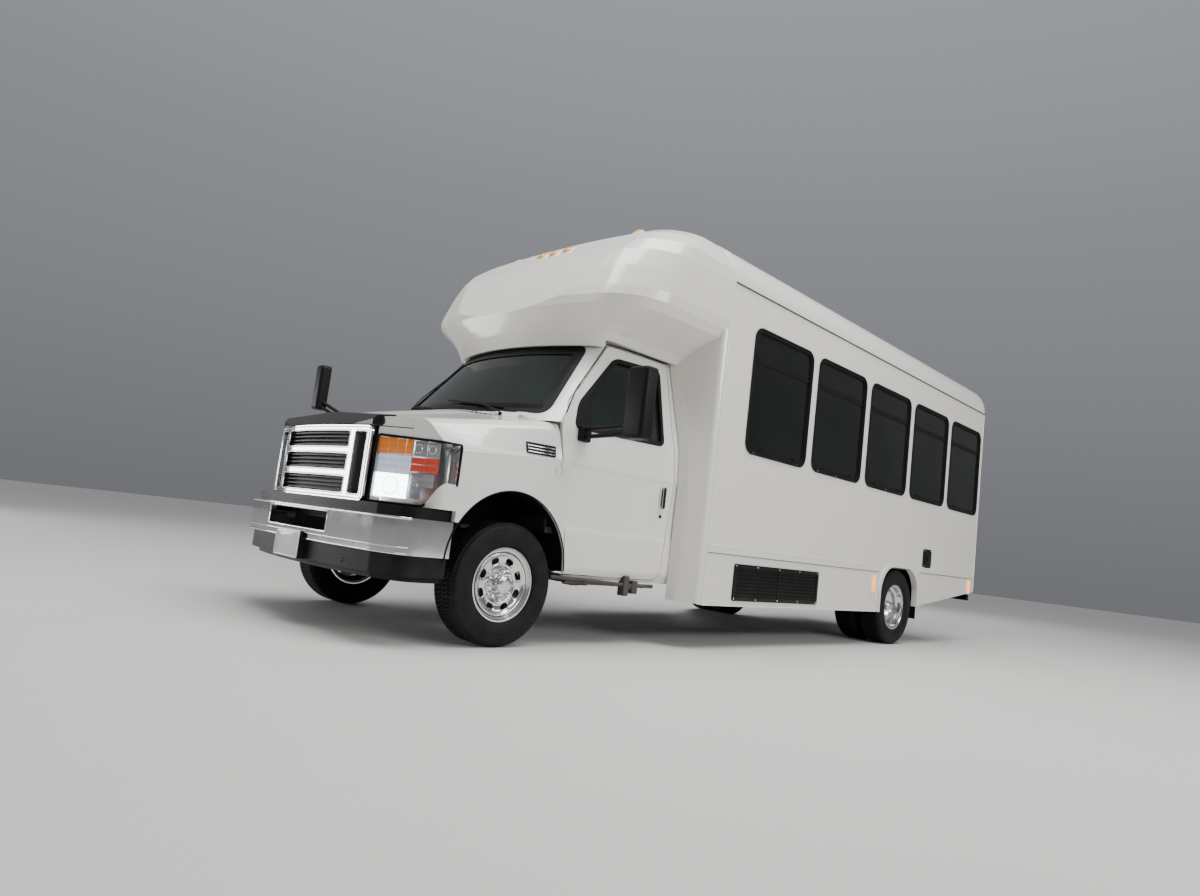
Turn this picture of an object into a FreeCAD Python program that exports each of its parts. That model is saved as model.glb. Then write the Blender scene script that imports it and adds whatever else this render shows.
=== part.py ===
import FreeCAD, Part
import math
import os

from FreeCAD import Vector

# A minibus on a van chassis: a full-size van cab carries a fibreglass cap, and a wide bus body
# stands behind it on the same ladder frame. Millimetres. X points to the vehicle's left, Y rearward
# from the front axle while the pieces are made, Z up from the ground. Every piece is moved at export
# so that the origin lies on the ground under the middle of the vehicle.

# Running gear
WHEELBASE = 4826
FRONT_TRACK = 1763
REAR_OUTER_TRACK = 2190
DUAL_SPACING = 270
TYRE_RADIUS = 367
TYRE_WIDTH = 223
RIM_RADIUS = 220
RIM_WIDTH = 176
BEAD_RADIUS = 203
BARREL_WALL = 8
LUG_CIRCLE = 165.1
LUG_COUNT = 8
HAND_HOLE_COUNT = 8
KINGPIN_X = 755
KINGPIN_RADIUS = 14
PIN_CLEARANCE = 0.3

# Ladder frame and floors
RAIL_CENTRE_X = 410
RAIL_WIDTH = 60
RAIL_BOTTOM = 520
RAIL_TOP = 700
RAIL_WALL = 8
FRAME_FRONT = -700
FRAME_REAR = 6760
FLOOR_TOP = 800
FLOOR_THICKNESS = 55

# Bus body
BODY_HALF_WIDTH = 1219
WALL = 45
SEAM_Y = 1613
REAR_Y = 6830
SKIRT_BOTTOM = 318
GUTTER_Z = 2709
ROOF_SHOULDER_Z = 3025
ROOF_CENTRE_Z = 3125
ROOF_CORNER_RADIUS = 330
ROOF_CROWN_RADIUS = 5000
WINDOW_FIRST_Y = 1955
WINDOW_PITCH = 980
WINDOW_WIDTH = 867
WINDOW_COUNT = 5
WINDOW_BOTTOM = 1481
WINDOW_TOP = 2456
WINDOW_RADIUS = 90
WINDOW_FRAME = 26
GLASS_THICKNESS = 6
REAR_ARCH_HALF = 416
REAR_ARCH_TOP = 758
REAR_ARCH_RADIUS = 260
FLARE_WIDTH = 38
FLARE_PROUD = 14
MOULDING_BOTTOM = 700
MOULDING_HEIGHT = 50
MOULDING_PROUD = 8
SKIRT_REAR_FOOT = 384
SKIRT_REAR_END = 585

# Entry door in the right wall, and the step well behind it
ENTRY_FRONT_Y = 1850
ENTRY_REAR_Y = 2750
ENTRY_BOTTOM = 380
ENTRY_TOP = 2400
ENTRY_GAP = 6
LEAF_THICKNESS = 38
LEAF_STILE = 55
STEP_COUNT = 2
STEP_WELL_DEPTH = 560
HINGE_RADIUS = 9
HINGE_LENGTH = 90

# Van cab
CAB_HALF_WIDTH = 1005
CAB_ROOF_Z = 2075
CAB_ROOF_HALF = 795
CAB_WALL = 60
CAB_REAR_Y = 1560
BELT_Z = 1400
BELT_HALF = 990
SILL_Z = 430
COWL_CENTRE_Y = 20
COWL_SIDE_Y = 235
COWL_SIDE_X = 930
HEADER_CENTRE_Y = 590
HEADER_SIDE_Y = 750
HEADER_SIDE_X = 735
PILLAR_DEPTH = 32
FRONT_ARCH_RADIUS = 455
FRONT_ARCH_Y = -10
FRONT_ARCH_Z = 470
DOOR_GAP = 6

# Nose
NOSE_Y = -830
NOSE_BOTTOM = 700
GRILLE_HALF = 585
GRILLE_BOTTOM = 757
GRILLE_TOP = 1190
GRILLE_SIDE_Y = -775
GRILLE_DEPTH = 60
LAMP_OUTER_Y = -560
BUMPER_FRONT_Y = -882
BUMPER_BOTTOM = 495
BUMPER_TOP = 695
VALANCE_BOTTOM = 350

# Front cap
CHEEK_Y = 1460
CAP_WALL = 30

# Rear bumper, with which the overall length ends
REAR_BUMPER_DEPTH = 120
REAR_BUMPER_BOTTOM = 480
REAR_BUMPER_HEIGHT = 110
REAR_BUMPER_HALF = 1150

# Number plate seat, with which the overall length begins
PLATE_STAND = 22
PLATE_HALF = 160
PLATE_BOTTOM = 380
PLATE_TOP = 540
PLATE_BOLT_SPACING = 177.8
PLATE_BOLT_Z = 518
PLATE_BOLT_RADIUS = 3.5

MIDDLE_Y = (BUMPER_FRONT_Y - PLATE_STAND + REAR_Y + REAR_BUMPER_DEPTH) / 2


# Basic shapes
def place(plane, a, b, depth):
    """Turn a flat point into space: side is (y, z), plan is (x, y), front is (x, z)."""
    if plane == "side":
        return Vector(depth, a, b)
    if plane == "plan":
        return Vector(a, b, depth)
    return Vector(a, depth, b)


def outline(plane, corners, depth):
    """Closed wire through corners (a, b) or (a, b, radius), a radius being a tangent arc.

    A corner (a, b, "through") is no corner: one arc runs through it from its neighbour to the next.
    """
    count = len(corners)
    entries, middles, exits = [], [], []
    for i, corner in enumerate(corners):
        here = Vector(corner[0], corner[1], 0)
        radius = corner[2] if len(corner) > 2 else 0
        before = Vector(corners[i - 1][0], corners[i - 1][1], 0) - here
        after = Vector(corners[(i + 1) % count][0], corners[(i + 1) % count][1], 0) - here
        before.normalize()
        after.normalize()
        half = before.getAngle(after) / 2
        if radius in (0, "through") or half > math.pi / 2 - 1e-4:
            entries.append(here)
            middles.append(None)
            exits.append(here)
            continue
        tangent = radius / math.tan(half)
        inward = before + after
        inward.normalize()
        entries.append(here + before * tangent)
        middles.append(here + inward * (radius / math.sin(half) - radius))
        exits.append(here + after * tangent)
    edges = []
    for i in range(count):
        following = (i + 1) % count
        if corners[i][2:3] == ("through",):
            continue
        start, leave, arrive = [place(plane, point.x, point.y, depth)
                                for point in (entries[i], exits[i], entries[following])]
        if middles[i] is not None:
            middle = place(plane, middles[i].x, middles[i].y, depth)
            edges.append(Part.Arc(start, middle, leave).toShape())
        if corners[following][2:3] == ("through",):
            beyond = entries[(i + 2) % count]
            edges.append(Part.Arc(leave, arrive, place(plane, beyond.x, beyond.y, depth)).toShape())
        elif leave.distanceToPoint(arrive) > 0.01:
            edges.append(Part.LineSegment(leave, arrive).toShape())
    return Part.Wire(edges)


def prism(plane, corners, low, high):
    """Solid of one outline between two depths."""
    low, high = min(low, high), max(low, high)
    direction = place(plane, 0, 0, high - low)
    return Part.Face(outline(plane, corners, low)).extrude(direction)


def box(x0, x1, y0, y1, z0, z1):
    return Part.makeBox(x1 - x0, y1 - y0, z1 - z0, Vector(x0, y0, z0))


def rod(start, end, radius):
    """Round bar from one point to another."""
    along = Vector(*end) - Vector(*start)
    return Part.makeCylinder(radius, along.Length, Vector(*start), along)


def bar(start, end, width, height):
    """Rectangular bar between two points, its width level and its height across it."""
    along = Vector(*end) - Vector(*start)
    level = Vector(0, 0, 1).cross(along)
    if level.Length < 1e-6:
        level = Vector(1, 0, 0)
    level.normalize()
    across = along.cross(level)
    across.normalize()
    corners = []
    for side, rise in ((-1, -1), (1, -1), (1, 1), (-1, 1)):
        corners.append(Vector(*start) + level * (side * width / 2) + across * (rise * height / 2))
    return Part.Face(Part.makePolygon(corners + corners[:1])).extrude(along)


def spun(corners, x=0, y=0, z=0):
    """Solid of a profile of (x, radius) corners turned about the X line through y and z."""
    face = Part.Face(outline("front", corners, 0))
    turned = face.revolve(Vector(0, 0, 0), Vector(1, 0, 0), 360)
    turned.translate(Vector(x, y, z))
    return turned


def lofted(wires, ruled=True):
    return Part.makeLoft(wires, True, ruled)


def mirrored(shape):
    return shape.mirror(Vector(0, 0, 0), Vector(1, 0, 0))


def both(shape):
    return [shape, mirrored(shape)]


def fused(shapes):
    whole = shapes[0].multiFuse(shapes[1:])
    return whole.removeSplitter()


def cut(shape, tools):
    return shape.cut(Part.makeCompound(tools)) if tools else shape


def rectangle(a0, a1, b0, b1, radius=0):
    return [(a0, b0, radius), (a1, b0, radius), (a1, b1, radius), (a0, b1, radius)]


def symmetric(half):
    """Close a half outline of (x, b, radius) corners about x = 0."""
    other = [(-corner[0],) + tuple(corner[1:]) for corner in reversed(half) if corner[0] != 0]
    return list(half) + other


def export(name, shapes):
    """Write one node, moved so that the middle of the vehicle is the origin."""
    whole = shapes[0] if len(shapes) == 1 else Part.makeCompound(shapes)
    whole = whole.copy()
    whole.translate(Vector(0, -MIDDLE_Y, 0))
    for solid in whole.Solids:
        if not solid.isValid() or solid.Volume <= 0:
            print("check", name, solid.isValid(), round(solid.Volume))
    print(name, len(whole.Solids), [round(v) for v in (
        whole.BoundBox.XMin, whole.BoundBox.XMax, whole.BoundBox.YMin,
        whole.BoundBox.YMax, whole.BoundBox.ZMin, whole.BoundBox.ZMax)])
    whole.exportStep("parts/" + name + ".step")


# Wheels and tyres
SPINDLE_RADIUS = 26
REAR_HUB_BORE = 50
TYRE_BULGE_RADIUS = 62
TYRE_SHOULDER_RADIUS = 24
BEAD_WIDTH = 76


def tyre(x):
    """One tyre centred at x = 0, then moved to x on the axle line."""
    half = TYRE_WIDTH / 2
    profile = [(-BEAD_WIDTH, BEAD_RADIUS), (BEAD_WIDTH, BEAD_RADIUS), (BEAD_WIDTH, RIM_RADIUS + 2),
               (half - 16, RIM_RADIUS + 9, 12), (half, RIM_RADIUS + 62, TYRE_BULGE_RADIUS),
               (half - 17, TYRE_RADIUS - 3, TYRE_SHOULDER_RADIUS), (0, TYRE_RADIUS, 900),
               (-half + 17, TYRE_RADIUS - 3, TYRE_SHOULDER_RADIUS),
               (-half, RIM_RADIUS + 62, TYRE_BULGE_RADIUS), (-half + 16, RIM_RADIUS + 9, 12),
               (-BEAD_WIDTH, RIM_RADIUS + 2)]
    return spun(profile, x, 0, TYRE_RADIUS)


def rim_barrel():
    """Drop-centre rim with its two flanges; the outer flange is at plus x."""
    half = RIM_WIDTH / 2
    well = BEAD_RADIUS - 28
    outer = [(-half, RIM_RADIUS), (-half + 10, RIM_RADIUS), (-BEAD_WIDTH, BEAD_RADIUS - 0.3),
             (-38, BEAD_RADIUS - 4), (-26, well), (26, well), (38, BEAD_RADIUS - 4),
             (BEAD_WIDTH, BEAD_RADIUS - 0.3), (half - 10, RIM_RADIUS), (half, RIM_RADIUS)]
    inner = [(x, r - BARREL_WALL) for x, r in reversed(outer)]
    inner[0] = (half, RIM_RADIUS - BARREL_WALL)
    inner[-1] = (-half, RIM_RADIUS - BARREL_WALL)
    return spun(outer + inner)


def wheel_face(dish, hub_out):
    """Bright cover: rim skirt, pierced ring, lug seat, hub and lugs. Dish is the lug seat's x."""
    ring_x = RIM_WIDTH / 2 - 26
    edge = BEAD_RADIUS - 14
    profile = [(ring_x, edge), (ring_x + 12, edge - 12), (ring_x - 2, edge - 34),
               (dish + 6, 118), (dish + 10, 106), (dish, 100), (dish, 62), (hub_out - 12, 58),
               (hub_out, 46), (hub_out, 0), (hub_out - 9, 0), (hub_out - 9, 40),
               (hub_out - 20, 50), (dish - 9, 54), (dish - 9, 108), (ring_x - 12, edge - 36),
               (ring_x, edge - 14)]
    face = spun(profile)
    holes = []
    hole_r = (edge - 34 + 118) / 2
    for i in range(HAND_HOLE_COUNT):
        angle = 2 * math.pi * (i + 0.5) / HAND_HOLE_COUNT
        y, z = hole_r * math.cos(angle), hole_r * math.sin(angle)
        holes.append(rod((-90, y, z), (90, y, z), 14))
    face = cut(face, holes)
    lugs = []
    for i in range(LUG_COUNT):
        angle = 2 * math.pi * i / LUG_COUNT
        y, z = LUG_CIRCLE / 2 * math.cos(angle), LUG_CIRCLE / 2 * math.sin(angle)
        lugs.append(rod((dish - 3, y, z), (dish + 26, y, z), 13))
    return fused([face] + lugs)


def front_wheel():
    """Rim, cover and hub of a front wheel about its own centre."""
    face = wheel_face(RIM_WIDTH / 2 - 46, RIM_WIDTH / 2 + 22)
    bore = SPINDLE_RADIUS + PIN_CLEARANCE
    hub = spun([(-40, bore), (34, bore), (34, 100), (12, 100), (12, 150), (-40, 150)])
    link = spun([(12, 140), (24, 140), (24, BEAD_RADIUS - 28), (12, BEAD_RADIUS - 28)])
    return fused([rim_barrel(), face, hub, link])


def rear_wheel(sign):
    """Rim with a deep-dished disc; sign +1 is the outer wheel of a pair, -1 the inner."""
    barrel = rim_barrel()
    disc_x = -RIM_WIDTH / 2 + 20
    disc = spun([(disc_x, 45), (disc_x + 12, 45), (disc_x + 12, 110), (disc_x + 40, 150),
                 (disc_x + 70, BEAD_RADIUS - 28), (disc_x + 56, BEAD_RADIUS - 28),
                 (disc_x + 28, 150), (disc_x, 118)])
    wheel = fused([barrel, disc])
    return wheel if sign > 0 else mirrored(wheel)


def export_wheels():
    front_x = FRONT_TRACK / 2
    outer_x = REAR_OUTER_TRACK / 2
    inner_x = outer_x - DUAL_SPACING
    front = front_wheel()
    front.translate(Vector(front_x, 0, TYRE_RADIUS))
    outer = rear_wheel(1)
    outer.translate(Vector(outer_x, WHEELBASE, TYRE_RADIUS))
    inner = rear_wheel(-1)
    inner.translate(Vector(inner_x, WHEELBASE, TYRE_RADIUS))
    face_x = outer_x - RIM_WIDTH / 2 + 32
    hub = spun([(inner_x - 40, 70), (face_x, 70), (face_x, 62), (face_x + 96, 56), (face_x + 108, 44),
                (face_x + 108, 0), (face_x - 60, 0), (face_x - 60, REAR_HUB_BORE),
                (inner_x - 40, REAR_HUB_BORE)])
    hub.translate(Vector(0, WHEELBASE, TYRE_RADIUS))
    lugs = []
    for i in range(LUG_COUNT):
        angle = 2 * math.pi * i / LUG_COUNT
        y = WHEELBASE + LUG_CIRCLE / 2 * math.cos(angle)
        z = TYRE_RADIUS + LUG_CIRCLE / 2 * math.sin(angle)
        lugs.append(rod((face_x - 2, y, z), (face_x + 26, y, z), 13))
    rear = fused([outer, inner, hub] + lugs)
    rear_tyres = [tyre(outer_x), tyre(inner_x)]
    for solid in rear_tyres:
        solid.translate(Vector(0, WHEELBASE, 0))
    export("tyre_front_left", [tyre(front_x)])
    export("tyre_front_right", [mirrored(tyre(front_x))])
    export("wheel_front_left", [front])
    export("wheel_front_right", [mirrored(front)])
    export("tyres_rear_left", rear_tyres)
    export("tyres_rear_right", [mirrored(solid) for solid in rear_tyres])
    export("wheels_rear_left", [rear])
    export("wheels_rear_right", [mirrored(rear)])


# Front axle
BOSS_RADIUS = 35
BOSS_HALF_HEIGHT = 55
EAR_THICKNESS = 28
TIE_ROD_Y = 165
TIE_ROD_X = 700
TIE_ROD_RADIUS = 13
STEERING_ARM_TOP = 400
BEAM_OFFSET_Y = 42
BEAM_WIDTH = 56
BEAM_HEIGHT = 84
SPRING_X = 540
SPRING_RADIUS = 62


def coil_spring(x, y, bottom, top, turns):
    """Coil spring as a closed ribbed sleeve."""
    step = (top - bottom) / turns
    corners = [(bottom, 0), (bottom, SPRING_RADIUS - 14)]
    for i in range(turns):
        corners.append((bottom + step * (i + 0.25), SPRING_RADIUS))
        corners.append((bottom + step * (i + 0.75), SPRING_RADIUS))
        if i < turns - 1:
            corners.append((bottom + step * (i + 1), SPRING_RADIUS - 14))
    corners += [(top, SPRING_RADIUS - 14), (top, 0)]
    points = [Vector(radius, 0, z) for z, radius in corners]
    face = Part.Face(Part.makePolygon(points + points[:1]))
    sleeve = face.revolve(Vector(0, 0, 0), Vector(0, 0, 1), 360)
    sleeve.translate(Vector(x, y, 0))
    return sleeve


def axle_beam(side):
    """Beam for one side (+1 left): it hangs from a pivot on the other side of the middle."""
    z = TYRE_RADIUS
    y = side * BEAM_OFFSET_Y
    pivot_x, inner_x, boss_x = -side * 300, side * 610, side * KINGPIN_X
    pivot = rod((pivot_x, y - 34, z + 20), (pivot_x, y + 34, z + 20), 34)
    span = bar((pivot_x, y, z + 20), (inner_x, y, z - 8), BEAM_WIDTH, BEAM_HEIGHT)
    turn = bar((side * 585, y * 1.1, z - 8), (boss_x - side * 20, 0, z), BEAM_WIDTH, BEAM_HEIGHT - 14)
    boss = rod((boss_x, 0, z - BOSS_HALF_HEIGHT), (boss_x, 0, z + BOSS_HALF_HEIGHT), BOSS_RADIUS)
    pin_end = BOSS_HALF_HEIGHT + EAR_THICKNESS
    pin = rod((boss_x, 0, z - pin_end), (boss_x, 0, z + pin_end), KINGPIN_RADIUS)
    seat_z = z + BEAM_HEIGHT / 2 - 8
    spring = coil_spring(side * SPRING_X, y, seat_z, RAIL_TOP - 30, 5)
    arm = bar((side * 515, y, z - 40), (side * RAIL_CENTRE_X, 1050, RAIL_BOTTOM - 24), 34, 48)
    return fused([pivot, span, turn, boss, pin, spring, arm])


def knuckle():
    """Left steering knuckle: forked round the beam's boss, with spindle, arm and brake caliper."""
    z = TYRE_RADIUS
    ear_low = BOSS_HALF_HEIGHT + PIN_CLEARANCE
    pieces = []
    for sign in (-1, 1):
        low = z + sign * ear_low
        high = z + sign * (ear_low + EAR_THICKNESS)
        pieces.append(rod((KINGPIN_X, 0, low), (KINGPIN_X, 0, high), 38))
        web_x = KINGPIN_X + 70
        pieces.append(box(KINGPIN_X, web_x, -30, 30, min(low, high), max(low, high)))
    reach = ear_low + EAR_THICKNESS
    pieces.append(box(KINGPIN_X + BOSS_RADIUS + 8, KINGPIN_X + 70, -36, 36, z - reach, z + reach))
    pieces.append(rod((KINGPIN_X + 68, 0, z), (FRONT_TRACK / 2 + 30, 0, z), SPINDLE_RADIUS))
    arm_bottom = STEERING_ARM_TOP - 24
    pieces.append(bar((KINGPIN_X + 52, 20, arm_bottom + 12), (TIE_ROD_X, TIE_ROD_Y, arm_bottom + 12), 36, 24))
    pieces.append(rod((TIE_ROD_X, TIE_ROD_Y, arm_bottom), (TIE_ROD_X, TIE_ROD_Y, STEERING_ARM_TOP), 24))
    body = fused(pieces)
    bore_reach = reach + 5
    bore = rod((KINGPIN_X, 0, z - bore_reach), (KINGPIN_X, 0, z + bore_reach),
               KINGPIN_RADIUS + PIN_CLEARANCE)
    return cut(body, [bore])


def tie_rod():
    """Tie rod whose two eyes lie on top of the steering arms."""
    bottom = STEERING_ARM_TOP + PIN_CLEARANCE
    middle = bottom + 18
    pieces = [rod((-TIE_ROD_X, TIE_ROD_Y, middle), (TIE_ROD_X, TIE_ROD_Y, middle), TIE_ROD_RADIUS)]
    for sign in (-1, 1):
        eye_x = sign * TIE_ROD_X
        pieces.append(rod((eye_x, TIE_ROD_Y, bottom), (eye_x, TIE_ROD_Y, bottom + 36), 24))
    return fused(pieces)


def export_front_axle():
    export("front_axle", [axle_beam(1), axle_beam(-1)])
    export("knuckle_left", [knuckle()])
    export("knuckle_right", [mirrored(knuckle())])
    export("tie_rod", [tie_rod()])


# Rear axle, driveline and tanks
SPRING_LENGTH = 1300
AXLE_TUBE_RADIUS = 58
DIFFERENTIAL_RADIUS = 150
SHAFT_RADIUS = 50
GEARBOX_Z = 505
GEARBOX_RADIUS = 110


def leaf_spring():
    """Left leaf pack with its two hangers and shock absorber, over the rear axle."""
    x = RAIL_CENTRE_X + RAIL_WIDTH / 2 + 45
    half = SPRING_LENGTH / 2
    low = TYRE_RADIUS + AXLE_TUBE_RADIUS
    pieces = []
    pieces.append(box(x - 45, x + 45, WHEELBASE - 60, WHEELBASE + 60, TYRE_RADIUS, low + 56))
    for i, share in enumerate((0.45, 0.7, 1.0)):
        z = low + i * 16
        rise = 26 if i == 2 else 0
        ends = [(WHEELBASE - half * share, z + rise, 0), (WHEELBASE, z, 0),
                (WHEELBASE + half * share, z + rise, 0), (WHEELBASE + half * share, z + 16 + rise, 0),
                (WHEELBASE, z + 16, 0), (WHEELBASE - half * share, z + 16 + rise, 0)]
        pieces.append(prism("side", ends, x - 38, x + 38))
    for sign in (-1, 1):
        y = WHEELBASE + sign * (half - 20)
        pieces.append(bar((x, y, low + 50), (x, y, RAIL_BOTTOM + 60), 70, 60))
        pieces.append(box(RAIL_CENTRE_X + RAIL_WIDTH / 2, x, y - 30, y + 30, RAIL_BOTTOM + 10, RAIL_BOTTOM + 60))
    return fused(pieces)


def export_rear_axle():
    tube_end = REAR_OUTER_TRACK / 2 - DUAL_SPACING - RIM_WIDTH / 2 + 20
    z = TYRE_RADIUS
    tube = rod((-tube_end, WHEELBASE, z), (tube_end, WHEELBASE, z), AXLE_TUBE_RADIUS)
    case = spun([(-95, 0), (-95, 95), (-60, DIFFERENTIAL_RADIUS, 20), (60, DIFFERENTIAL_RADIUS, 20),
                 (95, 95), (95, 0)], 0, WHEELBASE, z)
    nose = rod((0, WHEELBASE - 230, z + 6), (0, WHEELBASE, z), 70)
    spindle_x = REAR_OUTER_TRACK / 2 - DUAL_SPACING + 50
    spindle = rod((-spindle_x, WHEELBASE, z), (spindle_x, WHEELBASE, z), REAR_HUB_BORE - PIN_CLEARANCE)
    export("rear_axle", [fused([tube, case, nose, spindle] + both(leaf_spring()))])
    carrier_y, gearbox_y = 2900, 1250
    shaft = rod((0, carrier_y, 520), (0, WHEELBASE - 237, z + 6), SHAFT_RADIUS)
    front_shaft = rod((0, gearbox_y + 4, GEARBOX_Z), (0, carrier_y, 520), SHAFT_RADIUS)
    carrier = box(-RAIL_CENTRE_X + RAIL_WIDTH / 2, RAIL_CENTRE_X - RAIL_WIDTH / 2,
                  carrier_y - 20, carrier_y + 20, 500, 560)
    export("driveshaft", [fused([shaft, front_shaft, carrier])])


def export_engine():
    engine = box(-240, 240, -480, 380, 590, 1050)
    gearbox = rod((0, 380, GEARBOX_Z), (0, 1250, GEARBOX_Z), GEARBOX_RADIUS)
    bell = rod((0, 340, 620), (0, 420, 620), 180)
    radiator = box(-380, 380, -700, -640, RAIL_TOP - RAIL_WALL, 1150)
    fan = rod((0, -640, 830), (0, -480, 830), 60)
    stops = [rod((x, -670, 1140), (x, -670, 1500), 14) for x in (-330, 330)]
    stops = [stop.common(nose_volume(NOSE_WALL + PIN_CLEARANCE)) for stop in stops]
    export("engine", [fused([engine, bell, gearbox, radiator, fan] + stops)])


def export_tanks():
    inner = RAIL_CENTRE_X - RAIL_WIDTH / 2 - 25
    tank = prism("front", rectangle(-inner, inner, 400, 660, 50), 5420, 6300)
    strap_x = RAIL_CENTRE_X - 5
    straps = [box(-strap_x, strap_x, y, y + 40, 655, RAIL_TOP - RAIL_WALL) for y in (5560, 6120)]
    export("fuel_tank", [fused([tank] + straps)])
    pipe_x, silencer_x, z = -525, -610, 450
    front = rod((-260, 1330, z), (pipe_x, 1800, z), 30)
    middle = rod((pipe_x, 1790, z), (pipe_x, 2960, z), 30)
    silencer = rod((silencer_x, 2900, z), (silencer_x, 3650, z), 105)
    tail = rod((silencer_x, 3640, z), (silencer_x, 4180, z), 30)
    hanger_x = RAIL_CENTRE_X + RAIL_WIDTH / 2
    hangers = [box(silencer_x, -hanger_x, y, y + 30, 540, 580) for y in (3000, 3500)]
    export("exhaust", [fused([front, middle, silencer, tail] + hangers)])


# Ladder frame
CROSSMEMBERS_Y = (-640, 1420, 2200, 3500, 4450, 5360, 6340, 6720)
PIVOT_CROSSMEMBER_Y = 102
OUTRIGGER_PITCH = 760
OUTRIGGER_HALF = 25
GEARBOX_CROSSMEMBER_Y = 1150
SILL_BAR_X = 975
SILL_BAR_Z = 408
SILL_BAR_RADIUS = 13


def rail(side):
    """Channel rail opening inward."""
    x0, x1 = RAIL_CENTRE_X - RAIL_WIDTH / 2, RAIL_CENTRE_X + RAIL_WIDTH / 2
    web = box(x0, x1, FRAME_FRONT, FRAME_REAR, RAIL_BOTTOM, RAIL_TOP)
    hollow = box(x0 - 1, x1 - RAIL_WALL, FRAME_FRONT - 1, FRAME_REAR + 1,
                 RAIL_BOTTOM + RAIL_WALL, RAIL_TOP - RAIL_WALL)
    channel = web.cut(hollow)
    return channel if side > 0 else mirrored(channel)


def outriggers():
    """Cross sills that carry the body floor, left out over the rear wheels and cut at the step well."""
    outer = BODY_HALF_WIDTH - WALL
    count = int((REAR_Y - SEAM_Y - 200) / OUTRIGGER_PITCH)
    sills = []
    for i in range(count + 1):
        y = SEAM_Y + 120 + i * OUTRIGGER_PITCH
        if abs(y - WHEELBASE) < TYRE_RADIUS:
            continue
        left = -outer
        if ENTRY_FRONT_Y - OUTRIGGER_HALF < y < ENTRY_REAR_Y + OUTRIGGER_HALF:
            left = -outer + STEP_WELL_DEPTH + 1
        sills.append(box(left, outer, y - OUTRIGGER_HALF, y + OUTRIGGER_HALF,
                         RAIL_TOP, FLOOR_TOP - FLOOR_THICKNESS))
    return sills


def gearbox_crossmember():
    """Drop crossmember under the gearbox, with its two round holes."""
    inner = RAIL_CENTRE_X + RAIL_WIDTH / 2 - RAIL_WALL
    y0, y1 = GEARBOX_CROSSMEMBER_Y, GEARBOX_CROSSMEMBER_Y + 90
    top = GEARBOX_Z - GEARBOX_RADIUS
    beam = box(-inner, inner, y0, y1, top - 55, top)
    legs = both(box(inner - 8, inner, y0, y1, top - 55, RAIL_BOTTOM + RAIL_WALL))
    holes = [rod((x, y0 - 1, top - 28), (x, y1 + 1, top - 28), 17) for x in (-250, -150, 150, 250)]
    return [cut(beam, holes)] + legs


def cab_supports(side):
    """Cab outrigger, spring tower and sill bar on one side."""
    rail_face = RAIL_CENTRE_X + RAIL_WIDTH / 2
    tower = box(rail_face - 4, 620, -110, 110, RAIL_TOP - 30, RAIL_TOP - 10)
    sill_bar = rod((SILL_BAR_X, 480, SILL_BAR_Z), (SILL_BAR_X, 1340, SILL_BAR_Z), SILL_BAR_RADIUS)
    pieces = [tower, sill_bar]
    foot_z, arm_z, drop_x = SILL_Z - 45, RAIL_BOTTOM + 60, SILL_BAR_X - 100
    for y in (560, 1100):
        pieces.append(box(drop_x, SILL_BAR_X, y, y + 50, foot_z, foot_z + 30))
        pieces.append(box(drop_x, drop_x + 30, y, y + 50, foot_z, arm_z + 40))
        pieces.append(box(rail_face - 4, drop_x + 30, y, y + 50, arm_z, arm_z + 40))
    whole = fused(pieces)
    return whole if side > 0 else mirrored(whole)


def frame_node():
    reach = RAIL_CENTRE_X + RAIL_WIDTH / 2 - RAIL_WALL
    pieces = [rail(1), rail(-1)]
    for y in CROSSMEMBERS_Y:
        pieces.append(box(-reach, reach, y - 35, y + 35, RAIL_TOP - 70, RAIL_TOP - RAIL_WALL))
    pivot_z = TYRE_RADIUS + 20
    for sign in (-1, 1):
        y0 = PIVOT_CROSSMEMBER_Y - 18
        y1 = PIVOT_CROSSMEMBER_Y + 18
        pieces.append(box(-reach, reach, *sorted((sign * y0, sign * y1)), RAIL_BOTTOM + RAIL_WALL, RAIL_BOTTOM + 60))
        for x in (-300, 300):
            pieces.append(box(x - 40, x + 40, *sorted((sign * y0, sign * y1)), pivot_z - 40, RAIL_BOTTOM + 20))
    pieces += outriggers() + gearbox_crossmember() + [cab_supports(1), cab_supports(-1)]
    return fused(pieces)


# Bus body
def window_starts():
    return [WINDOW_FIRST_Y + i * WINDOW_PITCH for i in range(WINDOW_COUNT)]


def window_outline(y, inset):
    return rectangle(y + inset, y + WINDOW_WIDTH - inset, WINDOW_BOTTOM + inset, WINDOW_TOP - inset,
                     WINDOW_RADIUS - inset)


def arch_outline(growth):
    """Rear wheel opening in the side wall, open at the skirt's bottom edge."""
    half = REAR_ARCH_HALF + growth
    top = REAR_ARCH_TOP + growth
    radius = REAR_ARCH_RADIUS + growth
    return [(WHEELBASE - half, 0), (WHEELBASE + half, 0), (WHEELBASE + half, top, radius),
            (WHEELBASE - half, top, radius)]


def side_sheet(x0, x1):
    """Side wall outline between two X planes: level skirt, raised behind the wheel, up to the gutter."""
    corners = [(SEAM_Y, SKIRT_BOTTOM), (WHEELBASE, SKIRT_BOTTOM),
               (WHEELBASE + REAR_ARCH_HALF, SKIRT_REAR_FOOT),
               (REAR_Y, SKIRT_REAR_END), (REAR_Y, GUTTER_Z), (SEAM_Y, GUTTER_Z)]
    return prism("side", corners, x0, x1)


VENT = (1970, 3215, 360, 635)
FILLER = (5346, 5541, 793, 988)


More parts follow.
